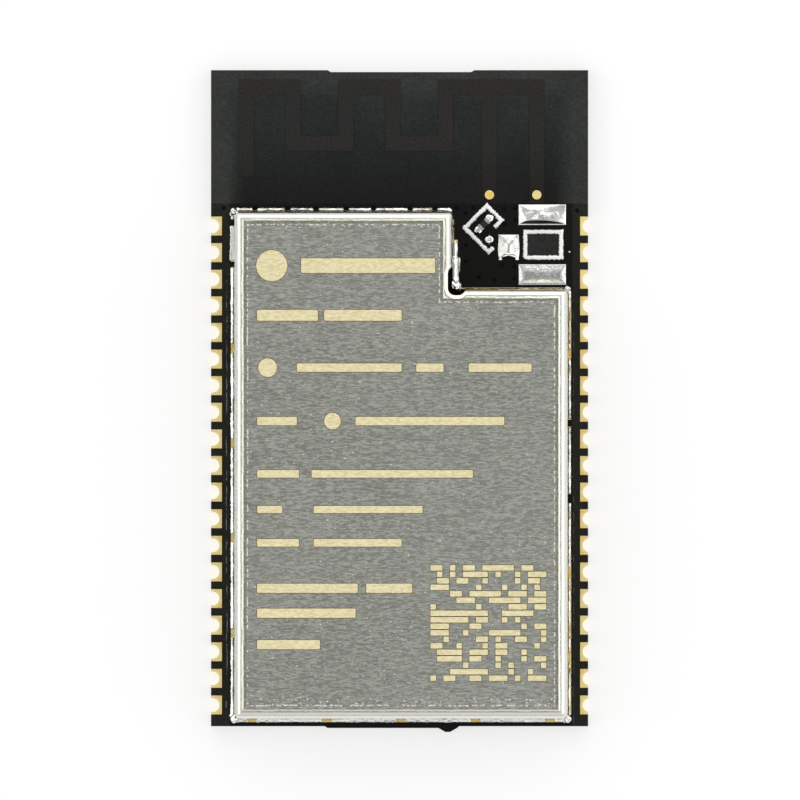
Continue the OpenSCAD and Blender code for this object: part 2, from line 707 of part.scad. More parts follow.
module selector_terminals() color(SOLDER) at_selector(top_z) for (x = [0, sel_part_l - sel_cap_l])
  translate([sel_mid - sel_part_l / 2 + x, sel_v - sel_part_w / 2, 0])
    cube([sel_cap_l, sel_part_w, sel_part_h]);

// a fillet outside each terminal, and a dome on the empty land
module selector_solder() color(SOLDER) at_selector(top_z) {
  reach = (sel_pitch + sel_land - sel_part_l) / 2;
  for (s = [-1, 1]) translate([sel_mid + s * sel_part_l / 2, sel_v, 0]) mirror([s < 0 ? 1 : 0, 0, 0])
    along_y(-sel_part_w / 2, sel_part_w / 2) polygon([[0, 0], [reach, 0], [0, sel_fillet_h]]);
  translate([sel_u, sel_v + sel_pitch, 0]) solder_pillow(sel_land, sel_land, sel_drop_h);
}

module selector_frame_print() color(INK) at_selector(core_top) linear_extrude(print_t) stroke([
  [sel_lip_long, sel_long], [0, sel_long], [0, 0], [sel_side, 0],
  [sel_side, sel_short], [sel_side - sel_lip_short, sel_short]
], print_w);

// ---- chips ----

module chip_lead_boxes(l, t) for (turn = [0:90:270], i = [0:chip_leads - 1]) rotate(turn)
  translate([chip_w / 2 - chip_lead_l, (i - (chip_leads - 1) / 2) * chip_pitch - chip_lead_w / 2, 0])
    cube([l, chip_lead_w, t]);

module chip_pad_box() translate([-chip_pad / 2, -chip_pad / 2, 0]) cube([chip_pad, chip_pad, chip_frame_t]);

module main_chip() color(MOULDING) translate([chip_x, chip_y, top_z]) difference() {
  translate([-chip_w / 2, -chip_w / 2, 0]) cube([chip_w, chip_w, chip_h]);
  chip_lead_boxes(chip_lead_l, chip_frame_t);
  chip_pad_box();
}

module main_chip_leadframe() color(SILVER) translate([chip_x, chip_y, top_z]) {
  chip_lead_boxes(chip_lead_l, chip_frame_t);
  chip_pad_box();
}

// a moulded body with drafted end faces, lying between its two rows of leads
module moulded_body(w, l, h) {
  mid = (h + stand_off) / 2;
  intersection() {
    along_y(-l / 2 - over, l / 2 + over) polygon([
      [-w / 2 + draft, stand_off], [w / 2 - draft, stand_off], [w / 2, mid], [w / 2 - draft, h],
      [-w / 2 + draft, h], [-w / 2, mid]
    ]);
    along_x(-w / 2 - over, w / 2 + over) polygon([
      [-l / 2 + draft, stand_off], [l / 2 - draft, stand_off], [l / 2, mid], [l / 2 - draft, h],
      [-l / 2 + draft, h], [-l / 2, mid]
    ]);
  }
}

// one gull-wing lead: out of the body at its middle, down, and out along the board
module gull_lead(w, h, span) {
  z = (h + stand_off) / 2;
  heel = span / 2 - lead_foot;
  knee = (heel + w / 2) / 2;
  along_x(-lead_w / 2, lead_w / 2) polygon([
    [w / 2, z], [knee + lead_t / 2, z], [knee + lead_t / 2, z - lead_t], [heel + lead_t, lead_t],
    [span / 2, lead_t], [span / 2, 0], [heel, 0], [knee - lead_t / 2, z - lead_t], [w / 2, z - lead_t]
  ]);
}

module gull_leads(w, h, span) for (turn = [0, 180], i = [0:3]) rotate(turn)
  translate([(i - 1.5) * lead_pitch, 0, 0]) gull_lead(w, h, span);

// the body's drafted side, where the leads come out, is trimmed flat at each lead
module soic_body(w, l, h, span) difference() {
  rotate(90) moulded_body(w, l, h);
  gull_leads(w - 2 * lead_t, h, span);
}

module soic_leads(w, h, span) gull_leads(w - 2 * lead_t, h, span);

module flash_chip() color(MOULDING) translate([flash_x, flash_y, top_z])
  soic_body(flash_w, flash_l, flash_h, flash_span);
module flash_chip_leads() color(SILVER) translate([flash_x, flash_y, top_z])
  soic_leads(flash_w, flash_h, flash_span);
module memory_chip() color(MOULDING) translate([memory_x, memory_y, top_z])
  soic_body(memory_w, memory_l, memory_h, memory_span);
module memory_chip_leads() color(SILVER) translate([memory_x, memory_y, top_z])
  soic_leads(memory_w, memory_h, memory_span);

// ---- crystal and small parts ----

module crystal_base() color(CERAMIC) translate([crystal_x - crystal_l / 2, crystal_y - crystal_w / 2, top_z])
  cube([crystal_l, crystal_w, crystal_h - crystal_lid_t]);

module crystal_lid() color(SILVER) translate([crystal_x, crystal_y, top_z + crystal_h - crystal_lid_t])
  linear_extrude(crystal_lid_t) round_rect(
    -crystal_l / 2 + crystal_rim, -crystal_w / 2 + crystal_rim,
    crystal_l / 2 - crystal_rim, crystal_w / 2 - crystal_rim, crystal_rim);

module small_body(h) translate([-small_l / 2 + terminal_l, -small_w / 2, top_z])
  cube([small_l - 2 * terminal_l, small_w, h]);

module small_terminals(h) for (x = [-small_l / 2, small_l / 2 - terminal_l])
  translate([x, -small_w / 2, top_z]) cube([terminal_l, small_w, h]);

module small_lands() for (turn = [0, 180]) rotate(turn)
  translate([small_l / 2 - terminal_l, -small_w / 2, core_top])
    cube([terminal_l + land_toe, small_w, copper_t]);

module capacitors() color(CERAMIC) for (r = cap_rows) row(r) small_body(cap_h);
module capacitor_terminals() color(SILVER) for (r = cap_rows) row(r) small_terminals(cap_h);
module inductors() color(FERRITE) for (r = inductor_rows) row(r) small_body(cap_h);
module inductor_terminals() color(SILVER) for (r = inductor_rows) row(r) small_terminals(cap_h);
module resistors() color(MOULDING) for (r = resistor_rows) row(r) small_body(resistor_h);
module resistor_terminals() color(SILVER) for (r = resistor_rows) row(r) small_terminals(resistor_h);

module soic_lands(span) for (s = [-1, 1], i = [0:3])
  translate([(i - 1.5) * lead_pitch - lead_w / 2, (s * (span - lead_foot) - lead_foot) / 2 - land_toe, core_top])
    cube([lead_w, lead_foot + 2 * land_toe, copper_t]);

module component_lands() color(GOLD) {
  for (r = concat(cap_rows, inductor_rows, resistor_rows)) row(r) small_lands();
  translate([flash_x, flash_y, 0]) soic_lands(flash_span);
  translate([memory_x, memory_y, 0]) soic_lands(memory_span);
  translate([chip_x, chip_y, core_top]) {
    translate([-chip_pad / 2, -chip_pad / 2, 0]) cube([chip_pad, chip_pad, copper_t]);
    chip_lead_boxes(chip_lead_l + land_toe, copper_t);
  }
  translate([crystal_x, crystal_y, core_top]) for (sx = [-1, 1], sy = [-1, 1])
    translate([sx * (crystal_l / 2 - small_w) - small_w, sy * (crystal_w / 2 - small_w) - small_w, 0])
      cube([2 * small_w, 2 * small_w, copper_t]);
}

// ---- nodes ----

circuit_board();
edge_pads(-1);  // left_edge_pads
edge_pads(1);  // right_edge_pads
ground_pad_grid();
antenna_trace();
antenna_test_points();
shield_land();
shield_can();
shield_solder();
coax_ground_lands();
coax_signal_land();
coax_land_solder();
coax_frame_print();
selector_lands();
selector_solder();
selector_resistor();
selector_terminals();
selector_frame_print();
main_chip();
main_chip_leadframe();
flash_chip();
flash_chip_leads();
memory_chip();
memory_chip_leads();
crystal_base();
crystal_lid();
capacitors();
capacitor_terminals();
inductors();
inductor_terminals();
resistors();
resistor_terminals();
component_lands();
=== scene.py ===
"""Looks of a castellated wifi module: finishes, reflowed solder, printed ink and laser marks.

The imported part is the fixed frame. Lengths in this script are millimetres until a mesh is made, where MM
turns them into metres. The origin is under the middle of the board, +Y runs to the antenna edge and +Z up.
"""

import math
import random

import bpy
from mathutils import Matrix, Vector, noise


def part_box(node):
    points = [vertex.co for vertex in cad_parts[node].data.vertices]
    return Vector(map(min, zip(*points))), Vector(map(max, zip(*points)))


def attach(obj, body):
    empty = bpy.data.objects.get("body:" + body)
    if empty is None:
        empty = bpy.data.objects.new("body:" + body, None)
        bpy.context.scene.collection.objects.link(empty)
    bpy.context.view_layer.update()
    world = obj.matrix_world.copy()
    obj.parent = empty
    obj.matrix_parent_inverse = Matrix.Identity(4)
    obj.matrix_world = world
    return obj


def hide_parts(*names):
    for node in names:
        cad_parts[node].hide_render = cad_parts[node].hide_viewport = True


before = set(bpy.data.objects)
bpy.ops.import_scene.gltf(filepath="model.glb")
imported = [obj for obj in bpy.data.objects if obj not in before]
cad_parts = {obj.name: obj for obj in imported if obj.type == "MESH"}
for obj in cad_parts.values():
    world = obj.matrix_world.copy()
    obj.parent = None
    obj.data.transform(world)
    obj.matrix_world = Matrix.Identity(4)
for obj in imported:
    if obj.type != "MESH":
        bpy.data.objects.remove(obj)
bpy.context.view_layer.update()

# ---- sizes, in millimetres

MM = 0.001


def box_mm(node):
    """Lowest and highest corner of a CAD node, in millimetres."""
    low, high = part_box(node)
    return low / MM, high / MM


BOARD_HIGH = box_mm("circuit_board")[1]
CAN_LOW, CAN_HIGH = box_mm("shield_can")
CAN_MID_X = (CAN_LOW.x + CAN_HIGH.x) / 2
TOP_Z = CAN_LOW.z  # the upper face of the copper, where the parts and their solder stand

# the frame of the picture, with the board's middle just off its centre
VIEW_WIDTH = 38.186
VIEW_X = 0.021
VIEW_Y = -0.044
CAMERA_HEIGHT = 200.0

# repeated from the part's source
NOTCH_X = CAN_HIGH.x - 5.5
NOTCH_Y = CAN_HIGH.y - 3.7
RELIEF_IN_X = 0.22
RELIEF_IN_Y = 0.30
RELIEF_X = 0.63
RELIEF_Y = 1.09
CORNER_R = 0.3
FOOT_PITCH_X = 3.56
FOOT_PITCH_Y = 4.53
FOOT_START = 4.1
FOOT_RIGHT = [2.95, 7.0, 17.4]
FOOT_LEFT = [FOOT_START + i * FOOT_PITCH_Y for i in range(4)]
FOOT_END = [i * FOOT_PITCH_X for i in range(-2, 3)]
VIA_ROW = [-0.52, 0.98, 2.53, 3.88, 5.33, 6.63, 8.38, 9.58]
ART_SHIFT = 0.07
FIRST_PAD_Y = BOARD_HIGH.y - 7.44
PAD_PITCH = 1.27

# zones of the solder mask
PLANE_EDGE_Y = 9.33  # the copper plane under the mask ends here, and the antenna's bare laminate begins
PLANE_EDGE_FADE = 0.04
# painted reflection: the mask over the laminate grows paler over this length away from the copper plane, and
# over the two lengths of EDGE_FADE towards the board's edges
FIELD_REFLECTION_FADE = 4.5
# painted reflection: the mask over the antenna's copper grows paler over this length away from the plane
TRACE_REFLECTION_FADE = 3.5
EDGE_FADE = (1.7, 0.5)
WINDOW_FADE = (0.05, 0.12)
SIDE_STRIP_X = (CAN_HIGH.x - CAN_LOW.x) / 2 + 0.17
SIDE_STRIP_FADE = 0.12
# depths below the mask's top over which the via dimples turn rougher and are painted dark as shade
DIMPLE_SHADE_FADE = (0.005, 0.020)
UNDERSIDE_FADE = (0.05, 0.02)
MASK_GLOSS = 0.2

# flux dried along each side of the can: where it lies, half its width, and where it starts
FLUX_LEFT_X = CAN_LOW.x - 0.37
FLUX_LEFT_HALF = 0.022
FLUX_LEFT_START = (CAN_HIGH.y - 2.6, CAN_HIGH.y - 2.9)
FLUX_RIGHT_X = CAN_HIGH.x + 0.28
FLUX_RIGHT_HALF = 0.016
FLUX_RIGHT_START = (NOTCH_Y - 0.2, NOTCH_Y - 0.5)
FLUX_RIGHT_LEVEL = 0.4
FLUX_WANDER = 0.025

# a speck of dust, which fades over these squares of the distance
DUST_X = 8.11
DUST_Y = 7.03
DUST_FADE = (0.0022, 0.0010)

# the pale ring round a half hole
RING_R = 0.43
RING_FADE = 0.05

# marks of the press, and painted highlights in lines along the bends: levels against the distance in from
# the can's outline
COINED = [(0.0, 0.0), (0.355, 0.0), (0.445, 1.0), (0.56, 0.9), (1.0, 0.9)]
BEND_HIGHLIGHTS = [
    (0.0, 0.25), (0.04, 0.05), (0.14, 0.15), (0.18, 0.9), (0.25, 0.9), (0.275, 0.1),
    (0.30, 0.1), (0.33, 0.45), (0.36, 0.3), (0.38, 0.7), (0.44, 0.6), (0.47, 0.0), (1.0, 0.0),
]
BEND_HIGHLIGHTS_LOW = [
    (0.0, 0.6), (0.16, 0.75), (0.30, 0.5), (0.36, 0.55), (0.39, 1.0), (0.43, 0.9), (0.46, 0.1),
    (0.50, 0.1), (0.52, 0.6), (0.55, 0.0), (1.0, 0.0),
]
BEND_HIGHLIGHTS_HIGH = [
    (0.0, 0.4), (0.04, 0.5), (0.20, 0.6), (0.24, 0.9),
    (0.31, 0.9), (0.34, 0.1), (0.40, 0.0), (1.0, 0.0),
]
OLIVE_HIGHLIGHTS = [
    (0.0, 0.0), (0.265, 0.0), (0.285, 0.8), (0.31, 0.0),
    (0.455, 0.0), (0.48, 0.85), (0.54, 0.5), (0.60, 0.0),
]
BEND_SIDE_FADE = 0.02
BEND_WANDER = 0.014
BEND_RAGGED = 0.010
BEND_ZONE = (0.50, 0.42)
BEND_GLOSS = 0.12
RIGHT_HIGHLIGHT_FADE = (0.30, 0.27)
RIGHT_HIGHLIGHT_LEVEL = 0.55
# the lip round the relief, with painted highlights on it: levels against the distance out from it
LIP_OLIVE_HIGHLIGHTS = [(0.0, 0.6), (0.03, 0.0), (0.13, 0.0), (0.17, 0.7), (1.0, 0.0)]
LIP_R = 0.28
LIP_FADE = (0.18, 0.16)
LIP_HIGHLIGHT = 0.9
PRESS_DEPTH = 0.022
# middle and reach of the tool's dashed line, and of the strips where sparks gather
TOOL_LINE = (0.62, 0.030)
SPARK_LINE = (0.68, 0.10)
SPARK_ROWS = (CAN_LOW.y + 0.82, 0.22)
SPARK_FADE = (3.0, 7.0)
SPARK_EXTRA = 0.07
SPARK_FROM = (0.71, 0.76)

# the brushed grain: the share of broad streaks, and the pitch and length of both sets of scratches
BRUSH_SHARE = 0.22
COARSE_SCRATCH = (0.053, 0.27)
FINE_SCRATCH = (0.039, 0.15)

# solder fillet round the can
PATH_STEP = 0.045
FILLET_W = 0.175
FILLET_NOTCH_W = 0.06
FILLET_H = 0.34
FILLET_LEAST_H = 0.08
FILLET_SINK = 0.02
FILLET_STEPS = 6
FILLET_RIPPLE = 0.012
CORNER_SWELL = 1.35
LEFT_SWELL = 1.15
RIGHT_SHRINK = 0.90
BOTTOM_SWELL = 1.05
FOOT_GAP = 0.2
VIA_REACH = 0.115
VIA_FILLET = (0.065, 0.16)  # width and height
# stretches and bare gaps of the fillet, as distances down from the can's antenna end
LEFT_BARE = [0.53, 2.52]
LEFT_BARE_REACH = 0.15
RIGHT_BARE = [10.1, 13.7]
RIGHT_BARE_REACH = 0.2
RIGHT_THIN = [(4.2, 6.3), (16.5, math.inf)]
# the left wall's first fillet spread flat and froze grey, all but its rim
FROZEN = (0.70, 2.35)
FROZEN_SWELL = 1.2
FROZEN_LOW = 0.45
FROZEN_RIM_X = CAN_LOW.x - 0.15
FROZEN_FADE = 0.05
FROZEN_ROUGH = 3.0  # against a frosted patch
# a painted dark reflection of the black mask lies on solder that faces -Y by this much, and up by no more
# than this
DARK_REFLECTION_TOWARDS_Y = (-0.50, -0.62)
DARK_REFLECTION_UP = (0.82, 0.72)
# the solder in the relief: distance in Y from the notch, and its middle and half width there
STRIP = [
    (-0.155, 0.25, 0.03), (-0.11, 0.25, 0.15), (0.02, 0.22, 0.24), (0.20, 0.20, 0.25),
    (0.42, 0.17, 0.17), (0.60, 0.155, 0.155), (1.15, 0.155, 0.165), (1.50, 0.155, 0.14),
    (1.60, 0.165, 0.10), (1.90, 0.168, 0.105), (2.20, 0.165, 0.075), (2.33, 0.16, 0.02),
]
STRIP_GRID = (14, 110)
STRIP_LUMPY = 0.5  # the strip is lumpier nearer the notch than this
# drops that closed over the open corner seams: place, radius and seed
CORNER_DROPS = [
    (CAN_LOW.x - 0.01, CAN_LOW.y - 0.01, 0.24, 1.0), (CAN_HIGH.x + 0.01, CAN_LOW.y - 0.01, 0.22, 2.0),
    (CAN_HIGH.x + 0.01, NOTCH_Y + 0.01, 0.18, 5.0), (CAN_LOW.x - 0.03, CAN_HIGH.y + 0.03, 0.21, 6.0),
]
CORNER_DROP_H = 0.34
BUBBLE_Z = TOP_Z + 0.12
DROP_WOBBLE = 0.22
DROP_LUMPS = 0.25

# solder on the connector's lands: heights, and slopes up from each edge
SOLDER_LAND_L = 0.98
LEAST_LIFT = 0.004
GROUND_GRID = (90, 40)
SIGNAL_GRID = (44, 44)
UPPER_SIDE_SLOPE = 0.70
UPPER_TOP_SLOPE = 0.55
UPPER_FOOT = (0.045, 1.35)  # length of the flat toe, and the slope over it
UPPER_CROWN_H = 0.36
UPPER_CROWN_U = 0.42
UPPER_CROWN_HALF = 0.56
LOWER_SIDE_SLOPE = 0.46
LOWER_TOP_SLOPE = 0.34
LOWER_FOOT_SLOPE = 0.42
LOWER_FLAT_H = 0.10
GROOVE_UP = 0.10
GROOVE_W = 0.018
GROOVE_DEEP = 0.022
SCRATCH_V = 0.52
SCRATCH_W = 0.02
SCRATCH_DEEP = 0.05
SIGNAL_SLOPE = 0.42
SIGNAL_FOOT = 0.01
SIGNAL_FOOT_SLOPE = 1.30
SIGNAL_CORNER_SLOPE = 0.55
SIGNAL_H = 0.30
SIGNAL_BULGE = 0.03

# solder on the antenna selector's lands
SELECTOR_LAND = 0.33
SELECTOR_OUT = 0.03
SELECTOR_DROP_R = 0.215
SELECTOR_DROP_H = 0.15
EMPTY_DROP_R = 0.225
EMPTY_DROP_H = 0.13

# printed lines
INK_W = 0.186
INK_T = 0.02
INK_SHOULDER = 0.6
INK_LEAST = 0.74
INK_BEAD = 0.42
INK_RAGGED = 0.50
INK_Z = BOARD_HIGH.z
INK_STEP = 0.03
DROPLET_PITCH = 0.12
SELECTOR_SIDE = 1.5
SELECTOR_LONG = 1.62
SELECTOR_SHORT = 0.98
SELECTOR_LIP = 0.31
SELECTOR_RETURN = 0.47

# laser marks: each line is its middle's y, its height, and the ends of its bars along X
MARK_LIFT = 0.004
MARK_RIM = 0.035
MARK_CORNER_R = 0.06
MARK_LINES = [
    (6.37, 0.70, [(-4.7, 1.7)]),
    (4.00, 0.52, [(-6.8, -3.9), (-3.6, 0.1)]),
    (1.50, 0.40, [(-4.9, 0.1), (0.8, 2.1), (3.3, 6.3)]),
    (-1.05, 0.40, [(-6.8, -4.9), (-2.1, 5.0)]),
    (-3.57, 0.36, [(-6.8, -4.8), (-4.2, 3.5)]),
    (-5.27, 0.34, [(-6.8, -5.6), (-4.1, 1.1)]),
    (-6.86, 0.36, [(-6.8, -4.8), (-4.1, 0.1)]),
    (-9.03, 0.44, [(-6.8, -2.0), (-1.6, 0.6)]),
    (-10.22, 0.44, [(-6.8, -2.1)]),
    (-11.72, 0.44, [(-6.8, -3.8)]),
]
MARK_DISCS = [(-6.1, 6.37, 1.5), (-6.3, 1.5, 0.9), (-3.2, -1.05, 0.8)]
BLOCK_X = 1.45
BLOCK_Y = -7.9
BLOCK_CELL = 0.31
BLOCK_CELLS = 18
BLOCK_GAP = 0.05
BLOCK_CORNER_R = 0.04

# the stage
FLOOR_SIDE = 600.0
FLOOR_LIFT = 0.003  # just over the board's underside, which is then seen from below
FLOOR_ALBEDO = 0.35
FLOOR_GLOW = 1.0 - FLOOR_ALBEDO + 0.02
# the tent's level against the sine of the elevation
TENT = [
    (0.0, 0.90), (0.15, 1.05), (0.24, 1.7), (0.66, 1.7),
    (0.80, 0.64), (0.95, 0.52), (0.985, 0.31), (1.0, 0.31),
]
TENT_FRONT = 0.5  # the tent's side towards -Y is dimmer
TENT_FRONT_FADE = (-0.8, -0.1)

# ---- colours, linear

# the first three colours are the mask over the laminate, with a painted reflection between them: paler away
# from the copper plane and at the board's edges
MASK_EDGE_REFLECTION = (0.030, 0.033, 0.030)
MASK_IN_FIELD = (0.018, 0.021, 0.021)
MASK_NEAR_PLANE = (0.007, 0.008, 0.007)
MASK_OVER_PLANE = (0.003, 0.003, 0.0025)
MASK_IN_WINDOW = (0.022, 0.024, 0.022)
MASK_BESIDE_CAN = (0.014, 0.014, 0.011)
TRACE_TINT = (0.021, 0.020, 0.018)
LAMINATE_DARK = (0.028, 0.022, 0.012)
LAMINATE_EDGE = (0.075, 0.060, 0.030)
GOLD = (0.97, 0.86, 0.46)
GOLD_DEEP = (0.97, 0.68, 0.20)
SHEET_DARK = (0.40, 0.42, 0.36)
SHEET_PALE = (0.72, 0.73, 0.66)
# painted highlights along the bends and round the lip, bright and olive; the bright one also colours the
# sparks of the tool marks
SHEET_HIGHLIGHT_AND_SPARK = (0.87, 0.86, 0.79)
SHEET_OLIVE_HIGHLIGHT = (0.42, 0.41, 0.26)
MARK_GOLD = (0.97, 0.90, 0.62)
MARK_GOLD_DEEP = (0.88, 0.77, 0.45)
MARK_BURN = (0.17, 0.14, 0.07)
MARK_BURN_PALE = (0.38, 0.32, 0.18)
SOLDER = (0.89, 0.89, 0.86)
SOLDER_FROST = (0.66, 0.67, 0.64)
SOLDER_FROZEN = (0.52, 0.54, 0.51)
# a painted dark reflection of the black mask, on solder slopes facing -Y
SOLDER_DARK_REFLECTION = (0.03, 0.03, 0.03)
TIN = (0.78, 0.78, 0.76)
INK = (0.99, 1.00, 1.00)
RESIDUE = (0.16, 0.17, 0.17)
MOULDING = (0.020, 0.020, 0.020)
RESISTOR_BODY = (0.018, 0.018, 0.020)
CERAMIC = (0.42, 0.28, 0.16)
FERRITE = (0.10, 0.10, 0.11)
WHITE = (1.0, 1.0, 1.0)


# ---- building node trees

class Field:
    """A node's output, which adds, subtracts, multiplies and divides as a number does."""

    def __init__(self, tree, socket):
        self.tree = tree
        self.socket = socket

    def __add__(self, other):
        return self.tree.math("ADD", self, other)

    def __sub__(self, other):
        return self.tree.math("SUBTRACT", self, other)

    def __rsub__(self, other):
        return self.tree.math("SUBTRACT", other, self)

    def __mul__(self, other):
        return self.tree.math("MULTIPLY", self, other)

    def __truediv__(self, other):
        return self.tree.math("DIVIDE", self, other)

    def __abs__(self):
        return self.tree.math("ABSOLUTE", self)


class Tree:
    """A node tree under construction. Each call adds nodes and returns the last one's output as a Field."""

    def __init__(self, node_tree):
        self.tree = node_tree
        self.tree.nodes.clear()

    def add(self, kind, inputs=None, out=0, **settings):
        made = self.tree.nodes.new(kind)
        for name, value in settings.items():
            setattr(made, name, value)
        for name, value in (inputs or {}).items():
            if isinstance(value, Field):
                self.tree.links.new(value.socket, made.inputs[name])
            else:
                made.inputs[name].default_value = value
        return Field(self, made.outputs[out]) if made.outputs else made

    # numbers

    def math(self, operation, a, b=0.0, c=0.0):
        return self.add("ShaderNodeMath", {0: a, 1: b, 2: c}, operation=operation)

    def least(self, first, *others):
        for other in others:
            first = self.math("MINIMUM", first, other)
        return first

    def greatest(self, a, b):
        return self.math("MAXIMUM", a, b)

    def length(self, a, b):
        return self.math("SQRT", a * a + b * b)

    def band(self, value, middle, reach):
        """1 where value is within reach of the middle, and 0 elsewhere."""
        return self.math("COMPARE", value, middle, reach)

    def ramp(self, value, start, end, low=0.0, high=1.0):
        """low where value is at start, high where it is at end, and a smooth step between them."""
        return self.add(
            "ShaderNodeMapRange",
            {"Value": value, "From Min": start, "From Max": end, "To Min": low, "To Max": high},
            interpolation_type="SMOOTHSTEP",
        )

    def spread(self, value, low=0.0, high=1.0):
        """A noise value, which is mostly within 0.3 to 0.7, spread over low to high."""
        return self.ramp(value, 0.3, 0.7, low, high)

    def levels(self, value, stops):
        """A number read from stops of (value, level), straight between them."""
        peak = max(level for _, level in stops)
        made = self.tree.nodes.new("ShaderNodeValToRGB")
        self.tree.links.new(value.socket, made.inputs[0])
        ramp = made.color_ramp
        while len(ramp.elements) < len(stops):
            ramp.elements.new(0.5)
        for element, (at, level) in zip(ramp.elements, stops):
            element.position = at
            element.color = (level / peak, level / peak, level / peak, 1.0)
        return Field(self, made.outputs["Color"]) * peak

    def blend(self, share, a, b):
        """The number a where share is 0, and the number b where it is 1."""
        return (1.0 - share) * a + share * b

    # colours

    def mix(self, share, a, b):
        """The colour a where share is 0, and the colour b where it is 1."""
        inputs = {0: share, 6: colour(a), 7: colour(b)}
        return self.add("ShaderNodeMix", inputs, out=2, data_type="RGBA")

    def scaled(self, value, scale):
        return self.add("ShaderNodeVectorMath", {0: value, "Scale": scale}, operation="SCALE")

    # places

    def place(self):
        """The point on the surface in the row frame, in millimetres."""
        return self.scaled(self.add("ShaderNodeTexCoord", out="Object"), 1 / MM)

    def axis(self, vector, name):
        return self.add("ShaderNodeSeparateXYZ", {0: vector}, out=name)

    def axes(self, vector, names="XYZ"):
        return [self.axis(vector, name) for name in names]

    def geometry(self, kind):
        return self.add("ShaderNodeNewGeometry", out=kind)

    def inside_box(self, x, y, low, high):
        """Distance in from the nearest side of a box, negative outside it."""
        return self.least(x - low[0], high[0] - x, y - low[1], high[1] - y)

    def outside_round(self, x, y, low, high, r):
        """Distance out from a box with rounded corners, negative inside it."""
        over = [
            self.greatest(abs(value - (a + b) / 2) - ((b - a) / 2 - r), 0.0)
            for value, a, b in ((x, low[0], high[0]), (y, low[1], high[1]))
        ]
        return self.length(*over) - r

    # textures

    def noise(self, vector, scale=1.0, detail=2.0, rough=0.5, stretch=None):
        if stretch:
            vector = self.add("ShaderNodeVectorMath", {0: vector, 1: stretch}, operation="MULTIPLY")
        inputs = {"Vector": vector, "Scale": scale, "Detail": detail, "Roughness": rough}
        return self.add("ShaderNodeTexNoise", inputs)

    def dashes(self, x, y, pitch, length, seed):
        """A random value for each of the short straight scratches that lie along X in rows."""
        row = self.math("FLOOR", y / pitch)
        shift = self.add("ShaderNodeTexWhiteNoise", {"W": row + seed}, noise_dimensions="1D")
        part = self.math("FLOOR", x / length + shift * 9.0)
        spot = self.add("ShaderNodeCombineXYZ", {"X": row, "Y": part, "Z": seed})
        return self.add("ShaderNodeTexWhiteNoise", {"Vector": spot}, noise_dimensions="3D")

    # the shader

    def bump(self, height, strength, depth, normal=None):
        inputs = {"Height": height, "Strength": strength, "Distance": depth * MM}
        if normal is not None:
            inputs["Normal"] = normal
        return self.add("ShaderNodeBump", inputs)

    def surface(self, **inputs):
        """The principled shader, wired to the output. Words in the names are joined with underscores."""
        inputs = {name.replace("_", " "): colour(value) for name, value in inputs.items()}
        shader = self.add("ShaderNodeBsdfPrincipled", inputs)
        self.add("ShaderNodeOutputMaterial", {"Surface": shader})


def colour(value):
    """A colour of three numbers with its alpha added. Anything else stays as it is."""
    return (*value, 1.0) if isinstance(value, tuple) else value


def shaded(tint, factor):
    return tuple(min(1.0, factor * c) for c in tint)


def new_material(name):
    material = bpy.data.materials.new(name)
    material.use_nodes = True
    return material, Tree(material.node_tree)


# ---- the board's materials

def mask_grain(t, point):
    """The mask's fine orange peel, its roughness and its relief."""
    grain = t.noise(point, scale=9.0, detail=5.0, rough=0.7)
    return grain, t.spread(grain, 0.30, 0.42), t.bump(grain, strength=0.25, depth=0.02)


def antenna_field_with_reflection(t, x, y):
    """Colour of the mask over bare laminate, with a painted reflection that makes it paler away from the
    copper plane and at the board's edges.
    """
    edge = t.least(BOARD_HIGH.x - abs(x), BOARD_HIGH.y - y)
    field = t.mix(t.ramp(y, PLANE_EDGE_Y, PLANE_EDGE_Y + FIELD_REFLECTION_FADE), MASK_NEAR_PLANE, MASK_IN_FIELD)
    return t.mix(t.ramp(edge, *EDGE_FADE), field, MASK_EDGE_REFLECTION)


def copper_plane(t, x, y):
    """Colour of the mask over the plane, its window under the connector and the strips beside the can."""
    window = t.inside_box(x, y, *box_mm("coax_frame_print"))
    plane = t.mix(t.ramp(window, *WINDOW_FADE), MASK_OVER_PLANE, MASK_IN_WINDOW)
    beside = t.ramp(abs(x - CAN_MID_X), SIDE_STRIP_X, SIDE_STRIP_X + SIDE_STRIP_FADE)
    return t.mix(beside, plane, MASK_BESIDE_CAN)


def dried_flux(t, point, x, y):
    """Share of the flux that dried in a ragged line along each side of the can, fainter on the right."""
    wander = t.spread(t.noise(point), -FLUX_WANDER, FLUX_WANDER)
    dried = t.noise(point, stretch=(6.0, 2.2, 1.0), detail=3.0, rough=0.65)
    left = t.band(x + wander, FLUX_LEFT_X, FLUX_LEFT_HALF) * t.ramp(y, *FLUX_LEFT_START)
    right = t.band(x + wander * 0.5, FLUX_RIGHT_X, FLUX_RIGHT_HALF)
    right = right * t.ramp(y, *FLUX_RIGHT_START, 0.0, FLUX_RIGHT_LEVEL)
    return (left + right) * t.ramp(dried, 0.46, 0.60)


def dust_speck(t, x, y):
    """Share of one pale speck between the connector's land and the board's edge."""
    dx, dy = x - DUST_X, y - DUST_Y
    return t.ramp(dx * dx + dy * dy, *DUST_FADE)


def glass_layers(t, point):
    """Colour of the laminate where the board is cut."""
    layers = t.noise(point, stretch=(1.2, 1.2, 22.0), detail=3.0, rough=0.6)
    return t.mix(t.ramp(layers, 0.35, 0.65), LAMINATE_DARK, LAMINATE_EDGE)


